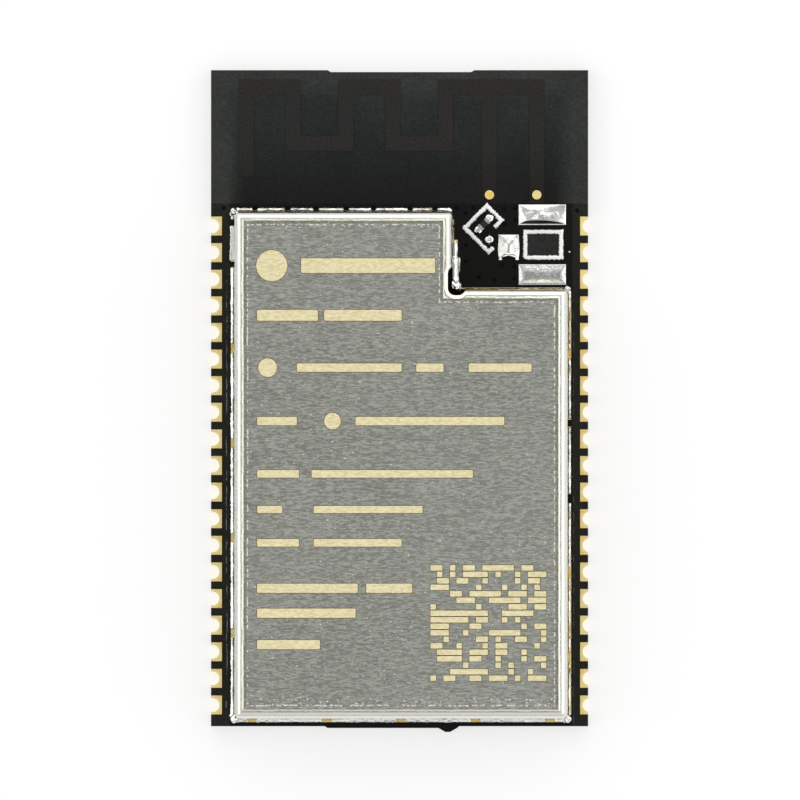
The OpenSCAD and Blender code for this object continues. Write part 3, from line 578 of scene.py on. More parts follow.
def mask_material():
    """Black solder mask, and brown laminate at the board's cut edges."""
    material, t = new_material("solder_mask")
    point = t.place()
    x, y, z = t.axes(point)
    grain, rough, relief = mask_grain(t, point)

    over_field = t.ramp(y, PLANE_EDGE_Y - PLANE_EDGE_FADE, PLANE_EDGE_Y + PLANE_EDGE_FADE)
    mask = t.mix(over_field, copper_plane(t, x, y), antenna_field_with_reflection(t, x, y))
    mask = t.mix(dried_flux(t, point, x, y), mask, RESIDUE)
    mask = t.mix(dust_speck(t, x, y), mask, INK)

    # the dimples of the tented vias are rougher, and painted dark as shade in their hollows
    shaded_dimple = t.ramp(z, BOARD_HIGH.z - DIMPLE_SHADE_FADE[0], BOARD_HIGH.z - DIMPLE_SHADE_FADE[1])
    cloud = t.noise(point, scale=0.35, detail=3.0)
    weave = t.noise(point, stretch=(1.6, 1.6, 1.0), scale=2.2)
    shade = t.spread(grain, 0.75, 1.25) + t.spread(cloud, -0.12, 0.12)
    shade = shade * t.spread(weave, 0.92, 1.08) * (1.0 - shaded_dimple)

    underside = t.ramp(z, *UNDERSIDE_FADE)
    face = t.mix(underside, t.scaled(mask, shade), MASK_IN_FIELD)
    cut = t.ramp(abs(t.axis(t.geometry("Normal"), "Z")), 0.5, 0.2)
    t.surface(
        Base_Color=t.mix(cut, face, glass_layers(t, point)),
        Roughness=rough + shaded_dimple * 0.5,
        Specular_IOR_Level=MASK_GLOSS,
        Normal=relief,
    )
    return material


def trace_material():
    """Solder mask over the antenna's copper, a little warmer than over the laminate, with a painted
    reflection that makes it paler away from the copper plane.
    """
    material, t = new_material("masked_copper")
    point = t.place()
    grain, rough, relief = mask_grain(t, point)
    tint = t.mix(t.spread(grain), shaded(TRACE_TINT, 0.8), shaded(TRACE_TINT, 1.25))
    # painted reflection: darker near the copper plane, paler towards the antenna end
    fade = t.ramp(t.axis(point, "Y"), PLANE_EDGE_Y, PLANE_EDGE_Y + TRACE_REFLECTION_FADE, 0.6, 1.0)
    t.surface(Base_Color=t.scaled(tint, fade), Roughness=rough, Specular_IOR_Level=MASK_GLOSS, Normal=relief)
    return material


def gold_material():
    """Immersion gold over etched copper: matt and finely grained, paler on the ring round each half hole."""
    material, t = new_material("gold_plate")
    point = t.place()
    grain = t.noise(point, scale=14.0, detail=4.0, rough=0.65)
    patch = t.noise(point, scale=3.3)
    out = abs(t.axis(point, "X") - ART_SHIFT) - BOARD_HIGH.x
    along = t.math("WRAP", t.axis(point, "Y") - FIRST_PAD_Y, PAD_PITCH / 2, -PAD_PITCH / 2)
    off_ring = t.ramp(t.length(out, along), RING_R, RING_R + RING_FADE, 0.15, 1.0)
    t.surface(
        Base_Color=t.mix(off_ring * t.ramp(patch, 0.38, 0.62, 0.20, 0.90), GOLD, GOLD_DEEP),
        Metallic=1.0,
        Roughness=t.spread(grain, 0.55, 0.70),
        Normal=t.bump(grain, strength=0.6, depth=0.03),
    )
    return material


# ---- the can's materials

def can_inset(t, x, y):
    """Distance in from the can's outline, which is two overlapping boxes."""
    low = (CAN_LOW.x, CAN_LOW.y)
    long_box = t.inside_box(x, y, low, (NOTCH_X, CAN_HIGH.y))
    wide_box = t.inside_box(x, y, low, (CAN_HIGH.x, NOTCH_Y))
    return t.greatest(long_box, wide_box)


def sheet_scratches(t, x, y, z):
    """Brightness of the short brushed scratches along X, which run on down the folded walls."""
    facing = t.geometry("True Normal")
    on_x_wall, on_y_wall = (t.ramp(abs(t.axis(facing, name)), 0.68, 0.72) for name in "XY")
    along, across = x + z * on_x_wall, y + z * on_y_wall
    coarse = t.dashes(along, across, *COARSE_SCRATCH, seed=3.0)
    return (coarse + t.dashes(along, across, *FINE_SCRATCH, seed=8.0)) * 0.5


def bend_highlights(t, x, y, inset, place):
    """Shares of the painted bright and olive highlights in the lines along the bends. Each side of the can
    has its own.
    """
    bright = t.levels(place, BEND_HIGHLIGHTS)
    at_right = t.ramp(x, CAN_MID_X, CAN_MID_X + 1)
    at_right = at_right * t.ramp(place, *RIGHT_HIGHLIGHT_FADE, 0.0, RIGHT_HIGHLIGHT_LEVEL)
    bright = t.greatest(bright, at_right)
    at_low = t.ramp(y - CAN_LOW.y - inset, BEND_SIDE_FADE, 0.0)
    bright = t.blend(at_low, bright, t.levels(place, BEND_HIGHLIGHTS_LOW))
    at_high = t.ramp(CAN_HIGH.y - y - inset, BEND_SIDE_FADE, 0.0)
    bright = t.blend(at_high, bright, t.levels(place, BEND_HIGHLIGHTS_HIGH))
    return bright, t.levels(place, OLIVE_HIGHLIGHTS) * (1.0 - at_low * 0.7)


def tool_marks(t, point, y, inset, place):
    """Share of the dashed line that the tool left inside the bends, and of sparks, most of them near it."""
    dashed = t.ramp(t.noise(point, scale=6.0), 0.50, 0.56) * t.band(place, *TOOL_LINE)
    near_line = t.band(inset, *SPARK_LINE) * t.ramp(y, *SPARK_FADE, 0.02, SPARK_EXTRA)
    near_line = t.greatest(near_line, t.band(y, *SPARK_ROWS) * SPARK_EXTRA)
    spots = t.noise(point, stretch=(6.0, 10.0, 10.0), detail=1.0)
    sparks = t.ramp(spots + near_line, *SPARK_FROM) * t.ramp(inset, 0.45, 0.50)
    return t.greatest(dashed, sparks)


def sheet_material():
    """Rolled nickel-silver sheet: a short brushed grain along X, and the press's marks along its bends, with
    painted highlights in lines along them.
    """
    material, t = new_material("shield_sheet")
    point = t.place()
    x, y, z = t.axes(point)

    # the press's lines and the painted highlights along the bends wander a little from the can's outline
    inset = can_inset(t, x, y)
    drawn = t.noise(point, stretch=(0.6, 0.6, 3.0), scale=2.0, detail=3.0, rough=0.6)
    ragged = t.noise(point, scale=7.0, detail=3.0, rough=0.6)
    place = inset + t.spread(drawn, -BEND_WANDER, BEND_WANDER)
    place = place + t.spread(ragged, -BEND_RAGGED, BEND_RAGGED)
    lines, olive = bend_highlights(t, x, y, inset, place)
    coined = t.levels(place, COINED)

    # the lip pressed round the relief, with painted highlights on it
    lip_low = (NOTCH_X - RELIEF_IN_X, NOTCH_Y - RELIEF_IN_Y)
    lip = t.outside_round(x, y, lip_low, (NOTCH_X + RELIEF_X, NOTCH_Y + RELIEF_Y), LIP_R)
    on_lip = t.ramp(lip, *LIP_FADE)
    lines = t.blend(on_lip, lines, LIP_HIGHLIGHT)
    olive = t.blend(on_lip, olive, t.levels(lip, LIP_OLIVE_HIGHLIGHTS))
    coined = t.blend(on_lip, coined, 1.0)

    brush = t.noise(point, stretch=(0.30, 10.0, 10.0), detail=1.0)
    streak = brush * BRUSH_SHARE + sheet_scratches(t, x, y, z) * (1 - BRUSH_SHARE)
    cloud = t.noise(point, scale=0.16)
    sparkle = tool_marks(t, point, y, inset, place)
    base = t.mix(t.ramp(streak, -0.15, 1.15), SHEET_DARK, SHEET_PALE)
    base = t.mix(t.ramp(cloud, 0.35, 0.65, 0.0, 0.2), base, SHEET_PALE)
    # painted highlights along the bends and round the lip, bright and then olive
    base = t.mix(lines, base, SHEET_HIGHLIGHT_AND_SPARK)
    base = t.mix(olive, base, SHEET_OLIVE_HIGHLIGHT)
    base = t.mix(sparkle, base, SHEET_HIGHLIGHT_AND_SPARK)

    in_bend = t.ramp(inset, *BEND_ZONE)
    press = t.bump(coined, strength=1.0, depth=PRESS_DEPTH)
    t.surface(
        Base_Color=base,
        Metallic=1.0,
        Roughness=t.ramp(streak, 0.35, 0.65, 0.28, 0.38) - in_bend * BEND_GLOSS + sparkle * 0.3,
        Anisotropic=0.4,
        Tangent=t.add("ShaderNodeCombineXYZ", {"X": 1.0}),
        Normal=t.bump(brush, strength=0.12, depth=0.010, normal=press),
    )
    return material


def solder_material():
    """Reflowed solder: bright and glassy, frosted in patches, with a painted dark reflection on its steep
    slopes towards -Y.
    """
    material, t = new_material("solder")
    point = t.place()
    x, y = t.axes(point, "XY")
    lumps = t.noise(point, scale=3.2, detail=3.0, rough=0.6)
    frost = t.noise(point, scale=12.0, detail=3.0, rough=0.6)
    patch = t.ramp(t.noise(point, scale=1.6), 0.42, 0.60)
    base = t.mix(patch * t.ramp(frost, 0.35, 0.65), SOLDER, SOLDER_FROST)

    # a painted dark reflection of the black mask on the steep slopes towards -Y, in the notch and beyond it
    facing = t.geometry("Normal")
    dark_reflection = t.ramp(t.axis(facing, "Y"), *DARK_REFLECTION_TOWARDS_Y) * t.ramp(t.axis(facing, "Z"), *DARK_REFLECTION_UP)
    base = t.mix(dark_reflection * t.ramp(y, NOTCH_Y, NOTCH_Y + 0.1), base, SOLDER_DARK_REFLECTION)

    # the fillet that froze grey and rough, all but its rim
    far, close = CAN_HIGH.y - FROZEN[1], CAN_HIGH.y - FROZEN[0]
    frozen = t.ramp(x, FROZEN_RIM_X - 0.02, FROZEN_RIM_X + 0.02) * t.ramp(x, CAN_LOW.x + 0.03, CAN_LOW.x)
    frozen = frozen * t.ramp(y, far - FROZEN_FADE, far) * t.ramp(y, close + FROZEN_FADE, close)
    base = t.mix(frozen, base, SOLDER_FROZEN)
    t.surface(
        Base_Color=base,
        Metallic=1.0,
        Roughness=t.spread(frost, 0.07, 0.14) + (patch + frozen * FROZEN_ROUGH) * 0.10,
        Normal=t.bump(frost, strength=0.25, depth=0.015, normal=t.bump(lumps, strength=0.4, depth=0.06)),
    )
    return material


def mark_material():
    """The laser's pale gold heat tint on the sheet, matt and finely mottled."""
    material, t = new_material("mark_tint")
    mottle = t.noise(t.place(), stretch=(4.0, 14.0, 14.0), detail=4.0, rough=0.7)
    t.surface(
        Base_Color=t.mix(t.ramp(mottle, 0.35, 0.65), MARK_GOLD_DEEP, MARK_GOLD),
        Metallic=0.8,
        Roughness=t.spread(mottle, 0.5, 0.7),
        Normal=t.bump(mottle, strength=0.3, depth=0.01),
    )
    return material


def mark_rim_material():
    """The browner edge that the laser leaves round a mark."""
    material, t = new_material("mark_rim")
    mottle = t.noise(t.place(), scale=7.0, detail=4.0, rough=0.7)
    base = t.mix(t.spread(mottle), MARK_BURN, MARK_BURN_PALE)
    t.surface(Base_Color=base, Metallic=0.9, Roughness=0.45, Normal=t.bump(mottle, strength=0.5, depth=0.02))
    return material


# ---- plain materials, and all of them put on

def plain_material(name, tint, rough, metallic=0.0, grain_scale=10.0, depth=0.01, spread=0.12):
    """A finish with a fine grain: moulded, fired, printed or tinned."""
    material, t = new_material(name)
    grain = t.noise(t.place(), scale=grain_scale, detail=4.0, rough=0.65)
    t.surface(
        Base_Color=t.mix(t.spread(grain), shaded(tint, 1 - 1.5 * spread), shaded(tint, 1 + spread)),
        Metallic=metallic,
        Roughness=t.spread(grain, rough - 0.08, rough + 0.08),
        Normal=t.bump(grain, strength=0.4, depth=depth),
    )
    return material


MATERIALS = {
    "solder_mask": mask_material(),
    "masked_copper": trace_material(),
    "gold_plate": gold_material(),
    "shield_sheet": sheet_material(),
    "solder": solder_material(),
}
PLAIN_FINISHES = {
    "tinned_metal": dict(tint=TIN, rough=0.32, metallic=1.0),
    "white_ink": dict(tint=INK, rough=0.6, grain_scale=18.0, depth=0.012, spread=0.015),
    "moulding": dict(tint=MOULDING, rough=0.6, grain_scale=22.0),
    "resistor_body": dict(tint=RESISTOR_BODY, rough=0.3),
    "ceramic_body": dict(tint=CERAMIC, rough=0.5),
    "ferrite_body": dict(tint=FERRITE, rough=0.55),
}
for finish_name, finish in PLAIN_FINISHES.items():
    MATERIALS[finish_name] = plain_material(finish_name, **finish)

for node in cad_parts.values():
    slot_name = node.data.materials[0].name
    node.data.materials.clear()
    node.data.materials.append(MATERIALS[slot_name.split(".")[0]])


# ---- building meshes

def noise_at(x, y, z=0.0, scale=1.0):
    """Smooth noise between about -1 and 1, the same on every run."""
    return noise.noise(Vector((x * scale, y * scale, z * scale)))


def add_piece(name, shape, slot_name, replaces=(), materials=None, face_material=None):
    """A mesh drawn in millimetres in the row frame, riding on the one body."""
    mesh = bpy.data.meshes.new(name)
    mesh.from_pydata([tuple(c * MM for c in v) for v in shape.verts], [], shape.faces)
    for material in materials or [MATERIALS[slot_name]]:
        mesh.materials.append(material)
    if face_material:
        mesh.polygons.foreach_set("material_index", face_material)
    mesh.polygons.foreach_set("use_smooth", [True] * len(mesh.polygons))
    mesh.validate()
    mesh.update()
    piece = bpy.data.objects.new(name, mesh)
    bpy.context.scene.collection.objects.link(piece)
    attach(piece, "root")
    if replaces:
        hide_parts(*replaces)


def grid_faces(width, height, close_rows=False, close_columns=False):
    """Quads between the points of a grid, row by row. Closed rows or columns run round to their start."""
    def at(i, j):
        return j % height * width + i % width

    return [
        (at(i, j), at(i + 1, j), at(i + 1, j + 1), at(i, j + 1))
        for j in range(height if close_columns else height - 1)
        for i in range(width if close_rows else width - 1)
    ]


class Shape:
    """Vertices and faces that several parts of one piece are gathered in."""

    def __init__(self):
        self.verts = []
        self.faces = []

    def add(self, verts, faces):
        start = len(self.verts)
        self.verts += verts
        self.faces += [tuple(start + i for i in f) for f in faces]

    def sweep(self, sections, closed=False):
        """A skin over a row of sections, each a loop of as many points: capped, or joined end to end."""
        n, count = len(sections[0]), len(sections)
        faces = grid_faces(n, count, close_rows=True, close_columns=closed)
        if not closed:
            faces.append(tuple(reversed(range(n))))
            faces.append(tuple(range((count - 1) * n, count * n)))
        self.add([p for s in sections for p in s], faces)

    def ring(self, x, y, z, radius, thick, steps=24, round_steps=8):
        """A round ring of round section lying flat."""
        sections = []
        for i in range(steps):
            a = 2 * math.pi * i / steps
            loop = []
            for j in range(round_steps):
                b = 2 * math.pi * j / round_steps
                out = radius + thick * math.cos(b)
                loop.append((x + out * math.cos(a), y + out * math.sin(a), z + thick * math.sin(b)))
            sections.append(loop)
        self.sweep(sections, closed=True)

    def mound(self, columns, rows, point):
        """A height field over a grid of u, v from 0 to 1, closed by a flat underside on the lands."""
        top = [point(i / columns, j / rows) for j in range(rows + 1) for i in range(columns + 1)]
        faces = grid_faces(columns + 1, rows + 1)
        rim = list(range(columns + 1))
        rim += [j * (columns + 1) + columns for j in range(1, rows + 1)]
        rim += [rows * (columns + 1) + i for i in range(columns - 1, -1, -1)]
        rim += [j * (columns + 1) for j in range(rows - 1, 0, -1)]
        under = [(top[i][0], top[i][1], TOP_Z) for i in rim]
        first = len(top)
        count = len(rim)
        faces += [(rim[(k + 1) % count], rim[k], first + k, first + (k + 1) % count) for k in range(count)]
        faces.append(tuple(first + k for k in reversed(range(count))))
        self.add(top + under, faces)

    def blob(self, x, y, rx, ry, height, seed, rings=7, spokes=20):
        """An uneven drop of solder standing on the lands."""
        def point(u, v):
            angle = 2 * math.pi * u
            wobble = 1 + DROP_WOBBLE * noise_at(math.cos(angle) + seed, math.sin(angle), seed, 1.1)
            r = (1 - v) * wobble
            lift = math.sqrt(max(0.0, 1 - (1 - v) ** 2))
            lift *= 1 + DROP_LUMPS * noise_at(r * math.cos(angle) * 2 + seed, r * math.sin(angle) * 2, seed)
            return (x + rx * r * math.cos(angle), y + ry * r * math.sin(angle), TOP_Z + height * lift)

        verts = [point(i / spokes, j / rings) for j in range(rings) for i in range(spokes)]
        verts.append(point(0, 1))
        peak = len(verts) - 1
        last = peak - spokes
        faces = grid_faces(spokes, rings, close_rows=True)
        faces += [(last + i, last + (i + 1) % spokes, peak) for i in range(spokes)]
        faces.append(tuple(reversed(range(spokes))))
        self.add(verts, faces)


# ---- solder round the can

def can_wall_path():
    """Points and outward normals along the can's foot, from the notch's long wall to its wide wall."""
    r = CORNER_R
    left, right, low, high = CAN_LOW.x + r, CAN_HIGH.x - r, CAN_LOW.y + r, CAN_HIGH.y - r
    centres = [
        (NOTCH_X - r, high, 0), (left, high, 90), (left, low, 180),
        (right, low, 270), (right, NOTCH_Y - r, 0),
    ]
    corners = [(NOTCH_X, NOTCH_Y + RELIEF_Y, 1, 0)]
    for cx, cy, start in centres:
        for step in range(7):
            a = math.radians(start + 15 * step)
            nx, ny = math.cos(a), math.sin(a)
            corners.append((cx + r * nx, cy + r * ny, nx, ny))
    corners.append((NOTCH_X + RELIEF_X, NOTCH_Y, 0, 1))
    path = []
    for a, b in zip(corners, corners[1:]):
        length = math.hypot(b[0] - a[0], b[1] - a[1])
        steps = max(1, round(length / PATH_STEP))
        path += [tuple(p + (q - p) * i / steps for p, q in zip(a, b)) for i in range(steps)]
    return path + [corners[-1]]


def near(value, places, reach):
    return any(abs(value - p) < reach for p in places)


def solder_reach(x, y, nx, ny):
    """Width and height of the fillet at a point of the wall, or None where there is none."""
    left, right = nx < -0.9, nx > 0.9 and x > NOTCH_X + 1
    top, bottom = ny > 0.9 and y > NOTCH_Y + 1, ny < -0.9
    notch = x > NOTCH_X - 0.1 and y > NOTCH_Y - 0.1
    up, down = y - CAN_LOW.y, CAN_HIGH.y - y
    if left and (near(up, FOOT_LEFT, FOOT_GAP) or near(down, LEFT_BARE, LEFT_BARE_REACH)):
        return None
    if right and (near(up, FOOT_RIGHT, FOOT_GAP) or near(down, RIGHT_BARE, RIGHT_BARE_REACH)):
        return None
    if bottom and near(x - CAN_MID_X, FOOT_END, FOOT_GAP):
        return None
    if top and near(x - CAN_LOW.x, VIA_ROW, VIA_REACH):
        return VIA_FILLET
    wide = FILLET_NOTCH_W if notch else FILLET_W
    high = FILLET_H
    if min(abs(nx), abs(ny)) > 0.2:
        wide *= CORNER_SWELL
    if left:
        wide *= LEFT_SWELL
        if FROZEN[0] < down < FROZEN[1]:
            wide *= FROZEN_SWELL
            high *= FROZEN_LOW
    if right and any(start < down < end for start, end in RIGHT_THIN):
        wide *= RIGHT_SHRINK
    if bottom:
        high *= 0.5 + 0.4 * noise_at(x, y, 2.0, 4.0)
        wide *= BOTTOM_SWELL
    wide *= 1 + 0.14 * noise_at(x, y, 3.0, 2.6) + 0.16 * noise_at(x, y, 8.0, 9.0)
    high *= 0.85 + 0.35 * noise_at(x, y, 5.0, 1.3) + 0.25 * noise_at(x, y, 1.0, 6.0)
    return wide, max(FILLET_LEAST_H, high)


def fillet_section(x, y, nx, ny, wide, high):
    """A concave fillet's loop: up its face from the toe to the wall, and back along the board."""
    loop = []
    for i in range(FILLET_STEPS + 1):
        u = i / FILLET_STEPS
        out = wide * (1 - u) ** 1.25
        lift = high * (0.22 * math.sin(math.pi * min(1, u * 1.6) / 2) + 0.78 * u ** 3.4)
        ripple = FILLET_RIPPLE * noise_at(x + nx * out, y + ny * out, lift, 9.0) * math.sin(math.pi * u)
        loop.append((x + nx * (out + ripple), y + ny * (out + ripple), TOP_Z + lift + abs(ripple)))
    back_x, back_y = x - nx * FILLET_SINK, y - ny * FILLET_SINK
    return loop + [(back_x, back_y, TOP_Z + high), (back_x, back_y, TOP_Z)]


def relief_strip(u, v):
    """A point of the solder in the relief and up along the notch's free wall, higher on the wall's side."""
    first, last = STRIP[0][0], STRIP[-1][0]
    up = first + (last - first) * v
    k = max(i for i in range(len(STRIP) - 1) if STRIP[i][0] <= up + 1e-9)
    (up0, centre0, half0), (up1, centre1, half1) = STRIP[k], STRIP[k + 1]
    f = (up - up0) / (up1 - up0)
    f = f * f * (3 - 2 * f)
    centre, half = centre0 + (centre1 - centre0) * f, half0 + (half1 - half0) * f
    x, y = NOTCH_X + centre + (2 * u - 1) * half, NOTCH_Y + up
    half *= 1 + 0.12 * noise_at(0, y, 4.0, 3.0)
    crest = half * (1.15 * (1 - u) ** 0.85 + 0.25 * math.sin(math.pi * u))
    lumps = 0.035 * noise_at(x, y, 2.0, 4.0)
    if up < STRIP_LUMPY:
        lumps += 0.05 * noise_at(x, y, 6.0, 9.0)
    return (x, y, TOP_Z + 0.02 + max(0.0, crest + lumps * math.sin(math.pi * u)))


def make_shield_solder():
    """Fillets along the can's foot, the solder in its relief, and the drops over its corner seams."""
    shape = Shape()
    runs = [[]]
    for place in can_wall_path():
        reach = solder_reach(*place)
        if reach:
            runs[-1].append(fillet_section(*place, *reach))
        else:
            runs.append([])
    for run in runs:
        if len(run) > 2:
            shape.sweep(run)
    shape.mound(*STRIP_GRID, relief_strip)
    # a long drop beside the strip, and a burst bubble in the strip
    shape.blob(NOTCH_X + 0.335, NOTCH_Y + 1.18, rx=0.055, ry=0.42, height=0.09, seed=3.0)
    shape.ring(NOTCH_X + 0.27, NOTCH_Y + 0.12, BUBBLE_Z, radius=0.075, thick=0.04)
    for x, y, r, seed in CORNER_DROPS:
        shape.blob(x, y, r, r, CORNER_DROP_H, seed)
    # a burst bubble in the drop at the antenna end
    shape.ring(CAN_LOW.x - 0.09, CAN_HIGH.y - 0.12, BUBBLE_Z, radius=0.10, thick=0.045)
    add_piece("shield_fillets", shape, "solder", replaces=["shield_solder"])


# ---- solder on the bare lands

def soft_least(values, sharpness=60.0):
    """The least of some heights, with the ridges between them rounded."""
    return -math.log(sum(math.exp(-sharpness * v) for v in values)) / sharpness


def steep_foot(d, foot, slope):
    """A short flat toe, and then a steep rise."""
    return 0.3 * min(d, foot) + slope * max(0.0, d - foot)


def middle(u, v):
    """1 in the middle of a land, and 0 all along its edges."""
    return math.sin(math.pi * u) * math.sin(math.pi * v)


def upper_dome(x, y, wide, land, u, v):
    """Height over the upper ground land: a crown near its steep lower side."""
    across = 1 - 0.85 * ((u - UPPER_CROWN_U) / UPPER_CROWN_HALF) ** 2
    crown = UPPER_CROWN_H * across * (0.24 + 0.76 * (1 - v))
    lift = soft_least([
        UPPER_SIDE_SLOPE * wide * u, UPPER_SIDE_SLOPE * wide * (1 - u),
        UPPER_TOP_SLOPE * land * (1 - v) + 0.02, steep_foot(land * v, *UPPER_FOOT), crown,
    ], sharpness=90.0)
    inside = middle(u, v) * min(1.0, max(0.0, (land * v - 0.25) / 0.1))
    return lift + inside * (0.035 * noise_at(x, y, 1.0, 2.6) + 0.018 * noise_at(x, y, 4.0, 7.0))


def lower_dome(x, y, wide, land, u, v):
    """Height over the lower ground land: a flat top between four slopes, with a groove and a scratch."""
    lift = soft_least([
        LOWER_SIDE_SLOPE * wide * u, LOWER_SIDE_SLOPE * wide * (1 - u),
        LOWER_TOP_SLOPE * land * (1 - v), LOWER_FOOT_SLOPE * land * v,
        LOWER_FLAT_H + 0.03 * math.sin(math.pi * u),
    ])
    groove = math.exp(-((land * v - GROOVE_UP) / GROOVE_W) ** 2) * math.sin(math.pi * u) ** 0.5
    scratch = math.exp(-(land * (v - SCRATCH_V) / SCRATCH_W) ** 2) * max(0.0, noise_at(x, 0, 7.0, 9.0))
    lift += middle(u, v) * (0.012 * noise_at(x, y, 6.0, 4.0) + 0.010 * noise_at(x, y, 2.0, 9.0))
    return lift - GROOVE_DEEP * groove - SCRATCH_DEEP * scratch


def signal_dome(x, y, wide, land, u, v):
    """Height over the signal land: a tall cushion with a steep lower side between its two corners."""
    side = SIGNAL_SLOPE + 1.2 * max(0.0, 1 - v / 0.26)
    foot_slope = SIGNAL_FOOT_SLOPE if 0.16 < u < 0.84 else SIGNAL_CORNER_SLOPE
    lift = soft_least([
        side * wide * u, side * wide * (1 - u), SIGNAL_SLOPE * land * (1 - v),
        steep_foot(land * v, SIGNAL_FOOT, foot_slope), SIGNAL_H,
    ])
    return lift + middle(u, v) * 0.02 * noise_at(x, y, 2.5, 3.5)


def signal_bulge(u, v):
    """How far the signal land's solder leans out over its two sides."""
    return SIGNAL_BULGE * math.sin(math.pi * min(1.0, v * 1.15)) * (2 * u - 1)


def dome_point(x0, y0, wide, land, height, bulge=None):
    """The function that gives a dome's points over a land from its low corner, for Shape.mound."""
    def point(u, v):
        x, y = x0 + wide * u, y0 + land * v
        lift = max(LEAST_LIFT, height(x, y, wide, land, u, v))
        return (x + bulge(u, v) if bulge else x, y, TOP_Z + lift)

    return point


def make_coax_solder():
    """Solder on the connector's two ground lands and its signal land."""
    shape = Shape()
    low, high = box_mm("coax_ground_lands")
    wide = high.x - low.x
    upper_y = high.y - SOLDER_LAND_L
    for y, height in ((upper_y, upper_dome), (low.y, lower_dome)):
        shape.mound(*GROUND_GRID, dome_point(low.x, y, wide, SOLDER_LAND_L, height))
    low, high = box_mm("coax_signal_land")
    wide, land = high.x - low.x, high.y - low.y
    shape.mound(*SIGNAL_GRID, dome_point(low.x, low.y, wide, land, signal_dome, signal_bulge))
    add_piece("coax_domes", shape, "solder", replaces=["coax_land_solder"])


def make_selector_solder():
    """Fillets outside the small resistor's terminals and a round drop on the empty land."""
    shape = Shape()
    low, high = box_mm("selector_lands")
    half = SELECTOR_LAND / math.sqrt(2)
    first = Vector((low.x + half, (low.y + high.y) / 2))
    second = Vector((high.x - half, high.y - half))
    away = (second - first).normalized()
    for centre, side in ((first, -1), (second, 1)):
        spot = centre + away * side * SELECTOR_OUT
        shape.blob(spot.x, spot.y, SELECTOR_DROP_R, SELECTOR_DROP_R, SELECTOR_DROP_H, 20.0 + side)
    shape.blob(high.x - half, low.y + half, EMPTY_DROP_R, EMPTY_DROP_R, EMPTY_DROP_H, 33.0)
    add_piece("selector_drops", shape, "solder", replaces=["selector_solder"])


# ---- white ink, laid down in droplets

def ink_points(corners, closed):
    """Points at even steps along a printed line."""
    points = []
    count = len(corners)
    for i in range(count if closed else count - 1):
        a, b = Vector(corners[i]), Vector(corners[(i + 1) % count])
        steps = round((b - a).length / INK_STEP)
        points += [a + (b - a) * k / steps for k in range(steps)]
    return points if closed else points + [Vector(corners[-1])]


def ink_sections(corners, closed):
    """Cross-sections of a printed line along its corners, with an edge beaded by the droplets."""
    points = ink_points(corners, closed)
    total = len(points)
    sections = []
    for i, p in enumerate(points):
        before = points[(i - 1) % total] if closed or i else p
        after = points[(i + 1) % total] if closed or i < total - 1 else p
        along = (after - before).normalized()
        side = Vector((-along.y, along.x))
        turn = 1.0
        if after != p and p != before:
            turn = (after - p).normalized().dot((p - before).normalized())
        mitre = 1.0 / math.sqrt(max(0.5, (1 + turn) / 2))
        bead = abs(math.sin(math.pi * i * INK_STEP / DROPLET_PITCH))
        left_half, right_half = (
            INK_W / 2 * mitre * (INK_LEAST + INK_BEAD * bead + INK_RAGGED * noise_at(p.x, p.y, seed, 9.0))
            for seed in (1.0, 5.0)
        )
        left, right = p + side * left_half, p - side * right_half
        shoulder = INK_Z + INK_SHOULDER * INK_T
        sections.append([
            (left.x, left.y, INK_Z), (left.x, left.y, shoulder), (p.x, p.y, INK_Z + INK_T),
            (right.x, right.y, shoulder), (right.x, right.y, INK_Z),
        ])
    return sections


def make_coax_print():
    low, high = box_mm("coax_frame_print")
    inset = INK_W / 2
    x0, y0, x1, y1 = low.x + inset, low.y + inset, high.x - inset, high.y - inset
    shape = Shape()
    shape.sweep(ink_sections([(x0, y0), (x1, y0), (x1, y1), (x0, y1)], True), closed=True)
    add_piece("coax_print_line", shape, "white_ink", replaces=["coax_frame_print"])


def make_selector_print():
    """The open frame at 45 degrees round the antenna selector."""
    low, high = box_mm("selector_frame_print")
    root = math.sqrt(0.5)
    corner_x = low.x + INK_W / 2
    corner_y = high.y - INK_W / 2 - SELECTOR_SIDE * root
    outline = [
        (SELECTOR_LIP, SELECTOR_LONG), (0, SELECTOR_LONG), (0, 0), (SELECTOR_SIDE, 0),
        (SELECTOR_SIDE, SELECTOR_SHORT), (SELECTOR_SIDE - SELECTOR_RETURN, SELECTOR_SHORT),
    ]
    corners = [(corner_x + (u + v) * root, corner_y + (u - v) * root) for u, v in outline]
    shape = Shape()
    shape.sweep(ink_sections(corners, False))
    add_piece("selector_print_line", shape, "white_ink", replaces=["selector_frame_print"])


# ---- laser marks: plain bars and a plain block

def rounded_bar(x, y, w, h, r, grow):
    """Outline of a bar from its middle, with rounded corners, grown by a margin."""
    w, h, r = w / 2 + grow, h / 2 + grow, min(r, h / 2) + grow
    outline = []
    for sx, sy, start in ((1, 1, 0), (-1, 1, 90), (-1, -1, 180), (1, -1, 270)):
        for step in range(5):
            a = math.radians(start + 22.5 * step)
            outline.append((x + sx * (w - r) + r * math.cos(a), y + sy * (h - r) + r * math.sin(a)))
    return outline


def random_bars():
    """Bars of the square block: runs of random cells, row by row, as middle and length."""
    random.seed(7)
    cells = [[random.random() < 0.5 for _ in range(BLOCK_CELLS)] for _ in range(BLOCK_CELLS)]
    bars = []
    for j, line in enumerate(cells):
        i = 0
        while i < BLOCK_CELLS:
            run = 0
            while i + run < BLOCK_CELLS and line[i + run]:
                run += 1
            if run:
                x, y = BLOCK_X + (i + run / 2) * BLOCK_CELL, BLOCK_Y - (j + 0.5) * BLOCK_CELL
                bars.append((x, y, run * BLOCK_CELL))
            i += run + 1
    return bars


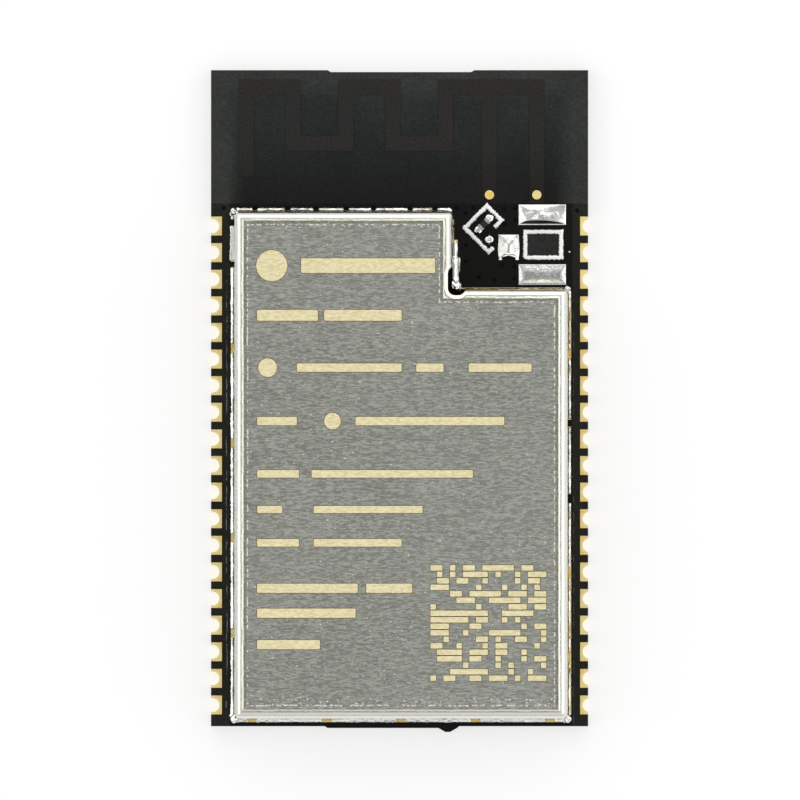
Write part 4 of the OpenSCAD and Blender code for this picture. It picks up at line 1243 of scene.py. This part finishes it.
def make_laser_marks():
    bars = [
        ((x0 + x1) / 2, y, x1 - x0, height, MARK_CORNER_R)
        for y, height, ends in MARK_LINES
        for x0, x1 in ends
    ]
    bars += [(x, y, size, size, size / 2) for x, y, size in MARK_DISCS]
    bars += [(x, y, w - BLOCK_GAP, BLOCK_CELL - BLOCK_GAP, BLOCK_CORNER_R) for x, y, w in random_bars()]
    shape = Shape()
    which = []
    z = CAN_HIGH.z + MARK_LIFT
    for bar in bars:
        inner, outer = (rounded_bar(*bar, grow) for grow in (0.0, MARK_RIM))
        n = len(inner)
        rim = [(i, n + i, n + (i + 1) % n, (i + 1) % n) for i in range(n)]
        shape.add([(*p, z) for p in inner + outer], [tuple(range(n))] + rim)
        which += [0] + [1] * n
    add_piece("laser_marks", shape, "gold_plate",
              materials=[mark_material(), mark_rim_material()], face_material=which)


make_shield_solder()
make_coax_solder()
make_selector_solder()
make_coax_print()
make_selector_print()
make_laser_marks()


# ---- stage: floor, light and camera

def make_floor():
    """A white floor that keeps the module's shadow, and is seen through from below."""
    mesh = bpy.data.meshes.new("floor")
    half = FLOOR_SIDE / 2
    corners = [(-half, -half), (half, -half), (half, half), (-half, half)]
    mesh.from_pydata([(x * MM, y * MM, FLOOR_LIFT * MM) for x, y in corners], [], [(0, 1, 2, 3)])
    floor = bpy.data.objects.new("floor", mesh)
    bpy.context.scene.collection.objects.link(floor)
    material, t = new_material("floor")
    camera_ray, glossy_ray = (
        t.add("ShaderNodeLightPath", out=name) for name in ("Is Camera Ray", "Is Glossy Ray")
    )
    t.surface(
        Base_Color=(FLOOR_ALBEDO, FLOOR_ALBEDO, FLOOR_ALBEDO),
        Roughness=1.0,
        Specular_IOR_Level=0.0,
        Emission_Color=WHITE,
        Emission_Strength=t.greatest(camera_ray, glossy_ray) * FLOOR_GLOW,
        Alpha=1.0 - t.geometry("Backfacing"),
    )
    mesh.materials.append(material)


def make_world():
    """A white light tent, dim round the zenith where the camera looks in, and white to the camera itself."""
    world = bpy.data.worlds.new("tent")
    world.use_nodes = True
    bpy.context.scene.world = world
    t = Tree(world.node_tree)
    y, z = t.axes(t.add("ShaderNodeTexCoord", out="Generated"), "YZ")
    tent = t.levels(z, TENT) * t.ramp(y, *TENT_FRONT_FADE, TENT_FRONT, 1.0)
    level = t.blend(t.add("ShaderNodeLightPath", out="Is Camera Ray"), tent, 1.0)
    shader = t.add("ShaderNodeBackground", {"Color": colour(WHITE), "Strength": level})
    t.add("ShaderNodeOutputWorld", {"Surface": shader})


def make_camera():
    data = bpy.data.cameras.new("camera")
    data.type = "ORTHO"
    data.ortho_scale = VIEW_WIDTH * MM
    data.clip_start = 0.001
    data.clip_end = 10.0
    camera = bpy.data.objects.new("camera", data)
    camera.location = (VIEW_X * MM, VIEW_Y * MM, CAMERA_HEIGHT * MM)
    bpy.context.scene.collection.objects.link(camera)
    bpy.context.scene.camera = camera


make_floor()
make_world()
make_camera()
bpy.context.scene.view_settings.view_transform = "Standard"
